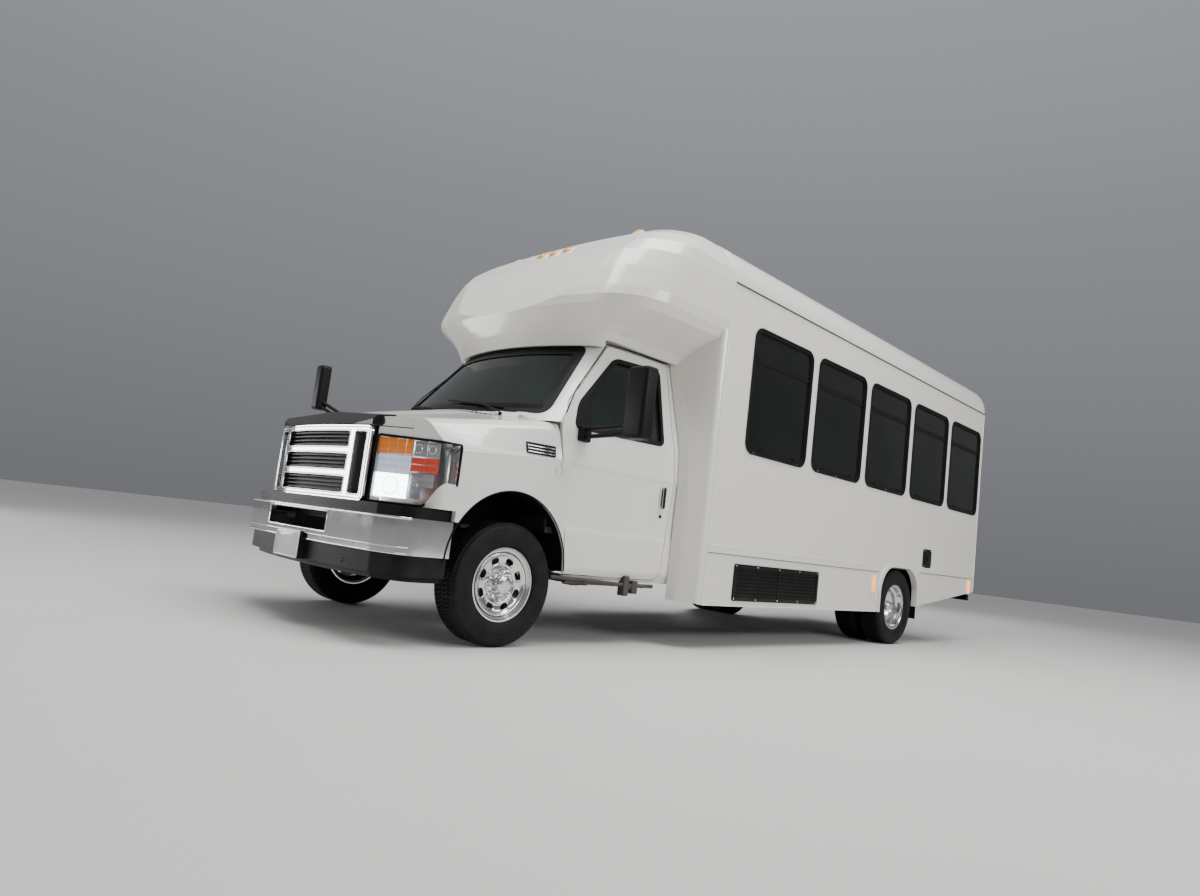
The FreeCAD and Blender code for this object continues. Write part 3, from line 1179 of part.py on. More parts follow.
def export_cab_doors():
    leaf = cab_wall(CAB_WALL, -1).common(door_zone(-DOOR_FLANGE))
    leaf = leaf.fuse(cab_wall(DOOR_SKIN, -1).common(door_zone(0)))
    leaf = leaf.cut(prism("side", DOOR_WINDOW, 500, 1200))
    handle = box(CAB_HALF_WIDTH - 12, CAB_HALF_WIDTH + 20, 1300, 1330, 965, 1112)
    leaf = fused([leaf, handle, door_knuckle(1)])
    pane = greenhouse(DOOR_GLASS_INSET, BELT_Z - 40, CAB_ROOF_Z).cut(
        greenhouse(DOOR_GLASS_INSET + GLASS_THICKNESS, BELT_Z - 41, CAB_ROOF_Z + 1))
    pane = pane.common(prism("side", DOOR_WINDOW, 500, 1200))
    for name, shape in (("cab_door", leaf), ("door_glass", pane)):
        export(name + "_left", [shape])
        export(name + "_right", [mirrored(shape)])
    export("door_mirror", [door_mirror()])
    export("wing_mirror", [mirrored(wing_mirror())])


# Front bumper, valance and grille
BUMPER_PLAN = [(1000, -430), (1000, -722, 120), (800, -812, 60), (0, BUMPER_FRONT_Y, "through")]
BUMPER_WALL = 28


def front_band(inset, wall, low, high):
    """Band that follows the bumper's plan, a wall thick, between two heights."""
    rear_y = BUMPER_PLAN[0][1]
    outer = symmetric([(c[0] - (inset if c[0] else 0), c[1] + (inset if i else 0)) + tuple(c[2:])
                       for i, c in enumerate(BUMPER_PLAN)])
    inner = symmetric([(c[0] - (inset + wall if c[0] else 0), c[1] + (inset + wall if i else 1)) + tuple(c[2:])
                       for i, c in enumerate(BUMPER_PLAN)])
    band = prism("plan", outer, low, high)
    return band.cut(prism("plan", inner, low - 1, high + 1))


def export_front():
    bar_body = front_band(0, BUMPER_WALL, BUMPER_BOTTOM, BUMPER_TOP)
    slot = prism("front", rectangle(-380, 380, 565, 672, 12), -1000, -700)
    brackets = [box(*sorted((sign * 385, sign * 435)), BUMPER_FRONT_Y + 42, FRAME_FRONT, 540, 640)
                for sign in (-1, 1)]
    export("front_bumper", [fused([bar_body.cut(slot)] + brackets)])
    valance = front_band(22, 30, VALANCE_BOTTOM + 40, BUMPER_BOTTOM)
    lower = front_band(60, 30, VALANCE_BOTTOM, VALANCE_BOTTOM + 40)
    shelf = front_band(22, 68, VALANCE_BOTTOM + 30, VALANCE_BOTTOM + 50)
    filler = front_band(28, 90, BUMPER_TOP, GRILLE_BOTTOM)
    front_y = BUMPER_FRONT_Y - PLATE_STAND
    tab = box(-PLATE_HALF, PLATE_HALF, front_y, BUMPER_FRONT_Y - 2, PLATE_BOTTOM, PLATE_TOP)
    foot = box(-PLATE_HALF, PLATE_HALF, front_y, BUMPER_FRONT_Y + 40, PLATE_BOTTOM, BUMPER_BOTTOM - 1)
    bolts = [rod((sign * PLATE_BOLT_SPACING / 2, front_y - 1, PLATE_BOLT_Z),
                 (sign * PLATE_BOLT_SPACING / 2, BUMPER_FRONT_Y, PLATE_BOLT_Z), PLATE_BOLT_RADIUS)
             for sign in (-1, 1)]
    plate_seat = fused([tab, foot]).cut(Part.makeCompound(bolts))
    export("front_valance", [fused([valance, lower, shelf, plate_seat]), filler])
    export_grille()


def grille_band(growth, depth):
    """Bowed slab that follows the nose in plan."""
    reach = GRILLE_HALF + 1
    front = [(reach, GRILLE_SIDE_Y - growth), (0, NOSE_Y - growth, "through"), (-reach, GRILLE_SIDE_Y - growth)]
    rear = [(-reach, GRILLE_SIDE_Y + depth), (reach, GRILLE_SIDE_Y + depth)]
    return prism("plan", front + rear, GRILLE_BOTTOM - 10, GRILLE_TOP + 10)


def export_grille():
    z0, z1, half = GRILLE_BOTTOM, GRILLE_TOP - 2, GRILLE_HALF - 2
    outer = prism("front", rectangle(-half, half, z0, z1, 30), -1000, -700)
    openings = []
    rows = 3
    frame = 34
    bar_height = 40
    inner_height = z1 - z0 - 2 * frame
    opening_height = (inner_height - (rows - 1) * bar_height) / rows
    for i in range(rows):
        low = z0 + frame + i * (opening_height + bar_height)
        openings.append(prism("front", rectangle(-395, 395, low, low + opening_height, 10), -1001, -699))
    for sign in (-1, 1):
        low, high = sorted((sign * 450, sign * (half - frame)))
        openings.append(prism("front", rectangle(low, high, z0 + frame, z1 - frame, 10), -1001, -699))
    band = grille_band(6, GRILLE_DEPTH - 48)
    export("grille", [cut(outer, openings).common(band)])
    slats = []
    back_y = GRILLE_SIDE_Y + GRILLE_DEPTH - 48
    for i in range(rows):
        low = z0 + frame + i * (opening_height + bar_height)
        for k in range(4):
            z = low + (k + 0.5) * opening_height / 4
            slats.append(box(-394, 394, -1000, back_y + 4, z - 4, z + 4))
    mesh = fused(slats + [box(-half + 40, half - 40, back_y, back_y + 14, z0 + 20, z1 - 20)])
    export("grille_slats", [mesh.common(grille_band(-14, GRILLE_DEPTH - 30))])


# Front cap over the cab
CAP_LEVELS = [
    # z, half width, corner y, corner radius, centre y
    (2012, 845, 672, 150, 500),
    (2060, 862, 640, 190, 480),
    (2110, 905, 605, 260, 462),
    (2165, 985, 575, 330, 445),
    (2220, 1085, 560, 380, 428),
    (2270, 1170, 552, 400, 412),
    (2330, 1210, 568, 400, 410),
    (2400, 1219, 600, 400, 430),
    (2560, 1219, 665, 400, 510),
    (2700, 1219, 735, 390, 610),
    (2800, 1209, 815, 370, 700),
    (2890, 1172, 925, 350, 830),
    (2970, 1105, 1060, 330, 1000),
    (3035, 988, 1215, 300, 1180),
    (3085, 485, 1420, 120, 1400),
    (3100, 280, 1500, 80, 1490),
]
CAP_PANEL = [(300, 2255), (415, 2255), (640, 2640, 1500), (1010, 3010), (1010, 3400), (1750, 3400),
             (1750, 1900), (300, 1900)]
CAP_SIDE_LIP_Z = 2062
CAP_VISOR_Y = 725
CHEEK_LEVELS = [
    # z, x of the cheek's front edge
    (SKIRT_BOTTOM + 9, CAB_HALF_WIDTH + 5),
    (CREASE_Z, CAB_HALF_WIDTH + 6),
    (BELT_Z, BELT_HALF + 6),
    (CAP_SIDE_LIP_Z + 60, CAB_ROOF_HALF - 6),
    (CAP_SIDE_LIP_Z + 280, CAB_ROOF_HALF - 6),
]


def cap_volume(inset):
    """Cap volume between level outlines, its front panel trimmed flat; an inset one is open below and behind."""
    wires = []
    top = CAP_LEVELS[-1][0]
    taper_z = 2560
    rear_y = SEAM_Y + max(0, inset)
    for z, half, corner_y, radius, centre_y in CAP_LEVELS:
        lift = -max(0, inset) if z == CAP_LEVELS[0][0] else -inset * max(0, (z - taper_z) / (top - taper_z))
        corners = symmetric([(half - inset, rear_y), (half - inset, corner_y + inset, radius - inset),
                             (0, centre_y + inset, "through")])
        wires.append(outline("plan", corners, z + lift))
    panel = [(y + inset, z - (inset if z > CAP_LEVELS[-1][0] else 0)) + tuple(rest) for y, z, *rest in CAP_PANEL]
    return lofted(wires).common(prism("side", panel, -1300, 1300))


def cheek_section(z, front_x):
    """Plan of the left cheek at one height: from the cab's rear corner out to the body's side."""
    wall, far_y = CAP_WALL, SEAM_Y - 45
    hollow_x, hollow_y = front_x + 70, CHEEK_Y + 25
    corners = [(BODY_HALF_WIDTH, SEAM_Y), (BODY_HALF_WIDTH, far_y, 45), (hollow_x, hollow_y, 150),
               (front_x, CHEEK_Y), (front_x, CHEEK_Y + wall), (hollow_x, hollow_y + wall, 150),
               (BODY_HALF_WIDTH - wall, far_y + 22), (BODY_HALF_WIDTH - wall, SEAM_Y)]
    return outline("plan", corners, z)


def export_cap():
    crown = cap_volume(0).cut(cap_volume(CAP_WALL))
    crown = crown.cut(box(-1300, 1300, CAP_VISOR_Y, SEAM_Y + 1, 1900, CAP_SIDE_LIP_Z))
    cheek = lofted([cheek_section(z, front_x) for z, front_x in CHEEK_LEVELS])
    cheek = cheek.cut(greenhouse(-1, BELT_Z, CAB_ROOF_Z))
    export("front_cap", [fused([crown] + both(cheek))])
    lamps = []
    for x, y, z in ((700, 1095, 2935), (150, 880, 2880), (0, 875, 2880)):
        lamp = rod((x, y, z - 60), (x, y - 30, z + 100), 45)
        lamp = lamp.common(cap_volume(-20)).cut(cap_volume(0))
        lamps += both(lamp) if x else [lamp]
    export("clearance_lamps", lamps)


# Inside
SEAT_WIDTH = 880
SEAT_DEPTH = 430
SEAT_HEIGHT = 450
SEAT_BACK_HEIGHT = 620
SEAT_PITCH = 780


def bench(x0, x1, y, floor_z):
    """Seat facing forward: cushion, leaning back and a pedestal."""
    z = floor_z + SEAT_HEIGHT
    cushion = prism("side", rectangle(y, y + SEAT_DEPTH, z - 100, z, 30), x0, x1)
    back = prism("side", [(y + SEAT_DEPTH - 70, z - 60), (y + SEAT_DEPTH + 40, z - 60),
                          (y + SEAT_DEPTH + 130, z + SEAT_BACK_HEIGHT, 40),
                          (y + SEAT_DEPTH + 50, z + SEAT_BACK_HEIGHT, 40)], x0, x1)
    middle = (x0 + x1) / 2
    legs = box(middle - 150, middle + 150, y + 80, y + SEAT_DEPTH - 60, floor_z, z - 95)
    return fused([cushion, back, legs])


def export_inside():
    wall_x = BODY_HALF_WIDTH - WALL - 10
    benches = [bench(wall_x - SEAT_WIDTH, wall_x, 2150 + i * SEAT_PITCH, FLOOR_TOP) for i in range(6)]
    benches += [bench(-wall_x, -wall_x + SEAT_WIDTH, 2930 + i * SEAT_PITCH, FLOOR_TOP) for i in range(5)]
    export("passenger_seats", benches)
    seats = both(bench(330, 800, 900, CAB_FLOOR_Z))
    export("cab_seats", seats)
    top = prism("side", [(330, BELT_Z - 30), (330, 1100), (560, 1060, 60), (640, 1200, 60), (600, BELT_Z - 40, 60),
                         (420, BELT_Z + 20, 60), (330, BELT_Z + 20)], -868, 868)
    top = top.common(lower_cab(CAB_WALL + 20).fuse(greenhouse(CAB_WALL + 20, BELT_Z, CAB_ROOF_Z - 100)))
    top = top.cut(box(-TUNNEL_HALF, TUNNEL_HALF, 300, 900, 1000, TUNNEL_TOP))
    column = rod((400, 560, 1230), (400, 745, 1318), 28)
    rim = Part.makeTorus(190, 15, Vector(400, 745, 1320), Vector(0, 190, 90))
    spokes = [bar((400 - 185, 745, 1320), (400 + 185, 745, 1320), 24, 30)]
    export("dashboard", [fused([top, column, rim] + spokes)])


os.makedirs("parts", exist_ok=True)
export_wheels()
export_front_axle()
export_rear_axle()
export_engine()
export_tanks()
export("frame", [frame_node()])
export_body()
export_rear()
export_floor()
export_entry()
export_side_fittings()
export_cab()
export_front()
export_cap()
export_inside()
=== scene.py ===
from contextlib import contextmanager
from itertools import product
import math

import bmesh
import bpy
from mathutils import Matrix, Vector
from mathutils.bvhtree import BVHTree


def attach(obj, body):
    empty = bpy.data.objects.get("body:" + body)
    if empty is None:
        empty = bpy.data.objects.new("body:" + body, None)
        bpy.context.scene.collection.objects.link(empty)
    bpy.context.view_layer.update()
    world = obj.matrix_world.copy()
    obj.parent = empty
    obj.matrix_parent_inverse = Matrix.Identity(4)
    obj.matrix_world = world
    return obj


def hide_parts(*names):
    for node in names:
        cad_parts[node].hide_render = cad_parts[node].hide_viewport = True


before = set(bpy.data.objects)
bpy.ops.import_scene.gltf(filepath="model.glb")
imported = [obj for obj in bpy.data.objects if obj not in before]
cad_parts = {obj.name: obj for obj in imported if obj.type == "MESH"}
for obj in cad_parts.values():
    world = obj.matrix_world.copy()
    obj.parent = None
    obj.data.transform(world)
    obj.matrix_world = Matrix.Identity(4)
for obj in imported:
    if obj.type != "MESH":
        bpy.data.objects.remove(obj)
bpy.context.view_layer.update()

# Sizes shared with the CAD source. They are in its millimetres: x to the vehicle's left, y rearward
# from the front axle, z up from the ground. Only this number is in metres: the front axle's y here.
AXLE_Y = -3.023
WHEELBASE = 4826
TYRE_RADIUS = 367
SIDES = ((1, "left"), (-1, "right"))
SLOT_OF = {}  # slot of each finish, for the pieces made in it


# Shader maths
class Field:
    """A number or colour that varies over a surface; arithmetic on it adds Math nodes."""

    def __init__(self, finish, output):
        self.finish, self.output = finish, output

    def _math(self, operation, *values):
        return self.finish.node("ShaderNodeMath", {"operation": operation}, dict(enumerate(values)))

    def __add__(self, other):
        return self._math("ADD", self, other)

    def __rsub__(self, other):
        return self._math("SUBTRACT", other, self)

    def __mul__(self, other):
        return self._math("MULTIPLY", self, other)

    def __lt__(self, other):
        return self._math("LESS_THAN", self, other)

    def call(self, operation):
        """A Math operation on this field alone, such as SINE."""
        return self._math(operation, self)

    def between(self, low, high):
        """0 below low, 1 above high, and straight in between."""
        return self.finish.node("ShaderNodeMapRange", {"clamp": True}, {0: self, 1: low, 2: high})


class Finish:
    """One material: its nodes, its surface coordinates and its principled shader."""

    def __init__(self, name, slot=""):
        self.material = bpy.data.materials.new(name)
        SLOT_OF[self.material] = slot
        self.material.use_nodes = True
        self.tree = self.material.node_tree
        self.shader = self.tree.nodes["Principled BSDF"]
        self.place = self.node("ShaderNodeTexCoord", {}, {}, "Object")
        self.x, self.y, self.z = [self.node("ShaderNodeSeparateXYZ", {}, {0: self.place}, axis) for axis in range(3)]

    def plug(self, node, socket, value):
        """Link a field to a socket, or set the socket to a constant."""
        if isinstance(value, Field):
            self.tree.links.new(value.output, node.inputs[socket])
        else:
            node.inputs[socket].default_value = value

    def node(self, kind, settings, sockets, output=0):
        made = self.tree.nodes.new(kind)
        for key, value in settings.items():
            setattr(made, key, value)
        for key, value in sockets.items():
            self.plug(made, key, value)
        return Field(self, made.outputs[output])

    def mix(self, factor, a, b):
        """Colour a where factor is 0, colour b where it is 1."""
        a, b = [colour if isinstance(colour, Field) else (*colour, 1) for colour in (a, b)]
        return self.node("ShaderNodeMix", {"data_type": "RGBA"}, {0: factor, 6: a, 7: b}, 2)

    def stretched(self, scale):
        """Surface coordinates scaled by a different number along each axis."""
        return self.node("ShaderNodeVectorMath", {"operation": "MULTIPLY"}, {0: self.place, 1: scale})

    def noise(self, scale, detail=3, roughness=0.5, place=None):
        sockets = {"Vector": place or self.place, "Scale": scale, "Detail": detail, "Roughness": roughness}
        return self.node("ShaderNodeTexNoise", {}, sockets)

    def dusted(self, colour, dust, low, high, amount):
        """Colour that turns to road dust towards the ground."""
        patches = self.noise(9, 4).between(0.35, 0.75)
        near_ground = 1 - self.z.between(low, high)
        return self.mix(near_ground * (patches * 0.6 + 0.4) * amount, colour, dust)

    def done(self, colour, roughness, bump=None, others=None):
        """Fill the shader: colour, roughness, a bump of (height, distance, strength), and other sockets."""
        sockets = {"Base Color": colour, "Roughness": roughness, **(others or {})}
        if bump:
            sockets["Normal"] = self.node("ShaderNodeBump", {}, dict(zip(("Height", "Distance", "Strength"), bump)))
        for socket, value in sockets.items():
            self.plug(self.shader, socket, value)
        return self.material


def scaled(colour, factor, lift=0):
    return tuple(c * factor + lift for c in colour)


def weathered(name, slot, colours, patches, gloss, grain, dust=None, others=None):
    """Finish that shifts from one colour to another in patches, with an uneven gloss and a fine grain.

    patches is noise scale, detail, roughness, low, high, share; gloss is noise scale, detail, swing, base;
    grain is noise scale, detail, depth, strength; dust is colour, low, high, share.
    """
    finish = Finish(name, slot)
    *noise, low, high, share = patches
    tone = finish.mix(finish.noise(*noise).between(low, high) * share, *colours)
    if dust:
        tone = finish.dusted(tone, *dust)
    scale, detail, swing, base = gloss
    bump = finish.noise(*grain[:2]), *grain[2:]
    return finish.done(tone, finish.noise(scale, detail) * swing + base, bump, others)


def gloss_white(name, colour, roughness, inner=0, inner_top=0):
    """White gloss; nearer the middle than inner and lower than inner_top it is black, as undercoat and as painted shade
    over the shell's inside and underside.
    """
    finish = Finish(name, "white_paint")
    cloud = finish.noise(1.7, 3).between(0.3, 0.7)
    tone = finish.mix(cloud * 0.35, colour, scaled(colour, 0.955))
    streaks = finish.noise(1, 4, 0.6, finish.stretched((7, 7, 0.5))).between(0.52, 0.8)
    tone = finish.mix(streaks * 0.06, tone, (0.52, 0.49, 0.43))
    tone = finish.dusted(tone, (0.42, 0.39, 0.34), 0.30, 0.75, 0.25)
    gloss = finish.noise(14, 3) * 0.10 + roughness
    coat = 0.6
    if inner:
        # Painted shade: the shell's inside and underside turn black here, which also stands for undercoat
        undercoat_and_shade = (finish.x.call("ABSOLUTE") < inner) * (finish.z < inner_top)
        tone = finish.mix(undercoat_and_shade, tone, (0.016, 0.016, 0.017))
        gloss = gloss + undercoat_and_shade * 0.5
        coat = 0.6 - undercoat_and_shade * 0.6
    grain = finish.noise(420, 2) + finish.noise(3, 2) * 12.0
    return finish.done(tone, gloss, (grain, 0.00006, 0.6), {"Coat Weight": coat, "Coat Roughness": 0.06})


def bright_metal(name, colour, roughness):
    return weathered(name, "bright_metal", (colour, scaled(colour, 0.78)), (6, 4, 0.5, 0.35, 0.75, 0.35),
                     (18, 4, 0.08, roughness), (4, 2, 0.0014, 0.35), others={"Metallic": 1})


def moulded_plastic(name, colour, roughness, grain):
    return weathered(name, "black_plastic", (colour, scaled(colour, 1.5, 0.002)), (5, 4, 0.5, 0.4, 0.8, 0.5),
                     (30, 3, 0.15, roughness), (grain, 2, 0.0005, 0.5), ((0.10, 0.09, 0.075), 0.2, 0.7, 0.22),
                     {"Specular IOR Level": 0.16})


def chassis_paint(name, colour, rust, slot="frame_paint"):
    return weathered(name, slot, (colour, (0.16, 0.075, 0.035)), (7, 5, 0.65, 0.45, 0.7, rust),
                     (16, 4, 0.3, 0.5), (90, 4, 0.0011, 0.5), ((0.13, 0.115, 0.095), 0.2, 0.9, 0.6))


def tinted_glass(name, colour, alpha):
    finish = Finish(name)
    film = finish.noise(2.3, 3).between(0.3, 0.8)
    tone = finish.mix(film * 0.5, colour, scaled(colour, 1.7, 0.004))
    return finish.done(tone, finish.noise(8, 3) * 0.03 + 0.015, (finish.noise(1.4, 1), 0.004, 0.25),
                       {"Alpha": film * 0.05 + alpha, "IOR": 1.52, "Specular IOR Level": 0.28})


def lens_plastic(name, colour, glow, slot="lamp_lens"):
    """Ribbed lens that gives off a little light of its own colour."""
    finish = Finish(name, slot)
    ribs = (finish.z * 170).call("SINE") * 0.5 + 0.5
    tone = finish.mix(ribs * 0.3 + finish.noise(20) * 0.2, colour, scaled(colour, 0.6))
    light = finish.mix(ribs * 0.4, colour, scaled(colour, 0.5))
    return finish.done(tone, finish.noise(40) * 0.08 + 0.08, (ribs, 0.0006, 0.7),
                       {"Emission Color": light, "Emission Strength": glow})


def clear_cover(name):
    finish = Finish(name, "lamp_lens")
    haze = finish.noise(5, 3).between(0.3, 0.8)
    tone = finish.mix(haze, (0.30, 0.31, 0.32), (0.24, 0.25, 0.25))
    return finish.done(tone, finish.noise(9) * 0.04 + 0.02, (finish.noise(2.5, 1), 0.0015, 0.2),
                       {"Alpha": haze * 0.03 + 0.05, "IOR": 1.5})


def seat_cloth(name, colour, thread):
    finish = Finish(name, "seat_cloth")
    weave = (finish.x * thread).call("SINE") * (finish.y * thread + finish.z * thread).call("SINE")
    fleck = finish.noise(160, 2).between(0.5, 0.62)
    tone = finish.mix(weave * 0.25 + 0.3, colour, scaled(colour, 1.8, 0.01))
    tone = finish.mix(fleck * 0.35, tone, (0.16, 0.19, 0.30))
    return finish.done(tone, finish.noise(40) * 0.1 + 0.82, (weave + finish.noise(300) * 0.8, 0.0006, 0.6),
                       {"Sheen Weight": 0.25})


def floor_covering(name):
    finish = Finish(name)
    fleck = finish.noise(220, 1).between(0.58, 0.66)
    worn = finish.noise(2.4, 4).between(0.35, 0.75)
    tone = finish.mix(worn * 0.4, (0.055, 0.055, 0.058), (0.11, 0.105, 0.10))
    tone = finish.mix(fleck * 0.5, tone, (0.24, 0.24, 0.25))
    return finish.done(tone, finish.noise(12) * 0.15 + 0.55, (finish.noise(320, 2), 0.0006, 0.5))


BODY_WHITE = gloss_white("body_gelcoat", (0.78, 0.76, 0.70), 0.20)
CAB_WHITE = gloss_white("cab_enamel", (0.80, 0.785, 0.74), 0.14)
# The cab shell's inside and underside are black: painted shade, also standing for undercoat
SHELL_WHITE = gloss_white("cab_shell_enamel", (0.80, 0.785, 0.74), 0.14, 0.945, 1.30)
CHROME = bright_metal("bumper_chrome", (0.88, 0.885, 0.89), 0.03)
COVER_STEEL = bright_metal("wheel_cover_steel", (0.70, 0.70, 0.69), 0.12)
BLACK_PLASTIC = moulded_plastic("moulded_black", (0.005, 0.005, 0.0055), 0.36, 700)
SMOKED = tinted_glass("smoked_deflector", (0.016, 0.012, 0.010), 0.97)
RUBBER = weathered("tyre_rubber", "tyre_rubber", ((0.006, 0.006, 0.0065), (0.020, 0.0185, 0.0165)),
                   (11, 5, 0.6, 0.4, 0.7, 0.5), (25, 3, 0.2, 0.56), (260, 3, 0.0006, 0.5),
                   others={"Specular IOR Level": 0.2})
FRAME_PAINT = chassis_paint("chassis_black", (0.018, 0.018, 0.018), 0.35)
ENGINE_IRON = chassis_paint("engine_casting", (0.075, 0.075, 0.078), 0.2)
EXHAUST_STEEL = chassis_paint("exhaust_steel", (0.20, 0.18, 0.16), 0.75)
SIDE_GLASS = tinted_glass("privacy_glass", (0.007, 0.008, 0.0075), 0.94)
CAB_GLASS = tinted_glass("green_tint_glass", (0.010, 0.015, 0.013), 0.86)
LAMP_LENS = lens_plastic("clear_lens", (0.78, 0.80, 0.82), 0.2)
AMBER_LENS = lens_plastic("amber_lens", (0.92, 0.26, 0.01), 3, "amber_lens")
ROOF_AMBER = lens_plastic("unlit_roof_amber", (0.74, 0.40, 0.10), 0.04, "amber_lens")
RED_LENS = lens_plastic("red_lens", (0.50, 0.012, 0.012), 0.05, "red_lens")
BLACK_RUBBER = moulded_plastic("black_rubber", (0.006, 0.006, 0.006), 0.5, 500)
BLACK_GLAZE = moulded_plastic("black_glass_border", (0.004, 0.004, 0.004), 0.10, 3)
REFLECTOR = bright_metal("lamp_reflector", (0.52, 0.53, 0.54), 0.2)
CLEAR_LENS = clear_cover("lamp_cover")
CLEAR_CELL = lens_plastic("ribbed_clear_cell", (0.36, 0.37, 0.38), 0.05)
BEAM = lens_plastic("lit_main_beam", (0.90, 0.96, 1), 12)
FLUTED = lens_plastic("lit_upper_beam", (0.50, 0.58, 0.66), 0.8)
AMBER_GLASS = lens_plastic("lit_turn_lamp", (0.78, 0.20, 0.003), 0.35, "amber_lens")
# The side reflectors are no lamp: their glow of 0.25 is a painted glow for the light they give back
REFLECTOR_PAINTED_GLOW = lens_plastic("side_reflector_painted_glow", (0.66, 0.035, 0.002), 0.25, "red_lens")
DISC_IRON = chassis_paint("brake_disc_iron", (0.10, 0.098, 0.095), 0.5, "engine_iron")
PIPING = moulded_plastic("seat_piping", (0.010, 0.011, 0.016), 0.5, 300)
MIRROR_SILVER = bright_metal("mirror_silver", (0.90, 0.91, 0.92), 0.02)
SEALER = gloss_white("body_sealer", (0.86, 0.85, 0.82), 0.35)
# Grey for beads that are painted shadow lines: under the roof gutter and under the side mouldings
SHADOW_LINE_GREY = moulded_plastic("gutter_shadow_grey", (0.09, 0.09, 0.085), 0.5, 200)
PLATE_BLANK = gloss_white("blank_plate_paint", (0.47, 0.46, 0.53), 0.3)
PLATE_RIM = gloss_white("plate_rim_paint", (0.80, 0.80, 0.83), 0.3)
SEAT_CLOTH = seat_cloth("seat_cloth", (0.035, 0.042, 0.075), 900)
FLOOR_BOARD = floor_covering("flecked_floor")

FINISH_OF = {node_name: finish for finish, node_names in (
    (SHELL_WHITE, "cab_shell"),
    (CAB_WHITE, "front_wings hood cab_door_left cab_door_right"),
    (BODY_WHITE, "front_cap wall_left wall_right roof rear_wall rear_door"),
    (CHROME, "front_bumper grille"),
    (COVER_STEEL, "wheel_front_left wheel_front_right wheels_rear_left wheels_rear_right"),
    (BLACK_PLASTIC, "front_valance grille_slats window_frames wall_fittings rear_bumper door_mirror wing_mirror"
                    " dashboard entry_leaf_front entry_leaf_rear"),
    (SMOKED, "stone_deflector"),
    (RUBBER, "tyre_front_left tyre_front_right tyres_rear_left tyres_rear_right mudflaps"),
    (ENGINE_IRON, "engine"),
    (EXHAUST_STEEL, "exhaust"),
    (SIDE_GLASS, "side_glass rear_glass entry_glass_front entry_glass_rear"),
    (CAB_GLASS, "door_glass_left door_glass_right windshield"),
    (LAMP_LENS, "headlamps"),
    (ROOF_AMBER, "clearance_lamps"),
    (AMBER_LENS, "side_markers"),
    (RED_LENS, "tail_lamps"),
    (FLOOR_BOARD, "floor"),
    (SEAT_CLOTH, "passenger_seats cab_seats"),
) for node_name in node_names.split()}
for node_name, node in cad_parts.items():
    node.data.materials.clear()
    node.data.materials.append(FINISH_OF.get(node_name, FRAME_PAINT))


# Making pieces
def fit(x, y, z):
    """A place in the CAD source's millimetres as metres in the frame."""
    return Vector((x / 1000, y / 1000 + AXLE_Y, z / 1000))


def corners(a0, a1, b0, b1):
    return [(a0, b0), (a1, b0), (a1, b1), (a0, b1)]


def crosswise(y, x0, x1, z0, z1):
    """Corners of an upright rectangle across the vehicle."""
    return [fit(x, y, z) for x, z in corners(x0, x1, z0, z1)]


def lengthwise(x, y0, y1, z0, z1):
    """Corners of an upright rectangle along the vehicle."""
    return [fit(x, y, z) for y, z in corners(y0, y1, z0, z1)]


def poured(name, bm):
    """Mesh made from a bmesh, which is freed."""
    mesh = bpy.data.meshes.new(name)
    bm.to_mesh(mesh)
    bm.free()
    return mesh


def linked(name, data):
    """New object in the scene."""
    made = bpy.data.objects.new(name, data)
    bpy.context.scene.collection.objects.link(made)
    return made


def added(name, bm, finish, body="vehicle", slot=None, sharp=38, replaced=(), tidy=True):
    """Turn a bmesh into a piece that rides a body, with clean normals and smooth faces."""
    if tidy:
        bmesh.ops.remove_doubles(bm, verts=bm.verts, dist=2e-6)
        bmesh.ops.recalc_face_normals(bm, faces=bm.faces)
    slot = slot or SLOT_OF[finish]
    mesh = poured(name, bm)
    mesh.shade_smooth()
    mesh.set_sharp_from_angle(angle=math.radians(sharp))
    mesh.materials.append(finish)
    made = linked(name, mesh)
    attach(made, body)
    if replaced:
        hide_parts(*replaced)
    return made


@contextmanager
def part(name, finish, body="vehicle", **options):
    """A bmesh to fill, which becomes a piece when the block ends."""
    bm = bmesh.new()
    yield bm
    added(name, bm, finish, body, **options)


def softened(bm, geom, radius, segments=2, affect="EDGES"):
    """Round edges, or the corners of a face, by a radius in millimetres."""
    return bmesh.ops.bevel(bm, geom=geom, offset=radius / 1000, offset_type="OFFSET", affect=affect,
                           segments=segments, profile=0.5, material=-1, clamp_overlap=True)


def mirror_over(bm):
    """Copy everything to the right side."""
    copied = bmesh.ops.duplicate(bm, geom=bm.verts[:] + bm.edges[:] + bm.faces[:])["geom"]
    bmesh.ops.scale(bm, vec=(-1, 1, 1), verts=[item for item in copied if isinstance(item, bmesh.types.BMVert)])


def turned(bm, points, centre, axis, steps):
    """Spin a line of places about an axis into a closed round shape."""
    verts = [bm.verts.new(point) for point in points]
    edges = [bm.edges.new(pair) for pair in zip(verts, verts[1:])]
    bmesh.ops.spin(bm, geom=verts + edges, cent=centre, axis=axis, angle=math.tau, steps=steps, use_merge=True)
    bmesh.ops.remove_doubles(bm, verts=bm.verts, dist=2e-6)


def lathe(bm, centre, axis, profile, steps=32):
    """Lathe a profile of (distance along the axis, radius), in millimetres, from a centre in metres."""
    axis = Vector(axis).normalized()
    aside = axis.orthogonal().normalized()
    points = [Vector(centre) + axis * (ahead / 1000) + aside * (radius / 1000) for ahead, radius in profile]
    turned(bm, points, centre, axis, steps)


def block(bm, corner, opposite, bevel=0.0, segments=2):
    """Box between two opposite corners, with rounded edges."""
    low, high = [fit(*[pick(pair) for pair in zip(corner, opposite)]) for pick in (min, max)]
    verts = bmesh.ops.create_cube(bm, size=1.0)["verts"]
    bmesh.ops.scale(bm, vec=high - low, verts=verts)
    bmesh.ops.translate(bm, vec=(low + high) / 2, verts=verts)
    if bevel:
        softened(bm, list({edge for vert in verts for edge in vert.link_edges}), bevel, segments)


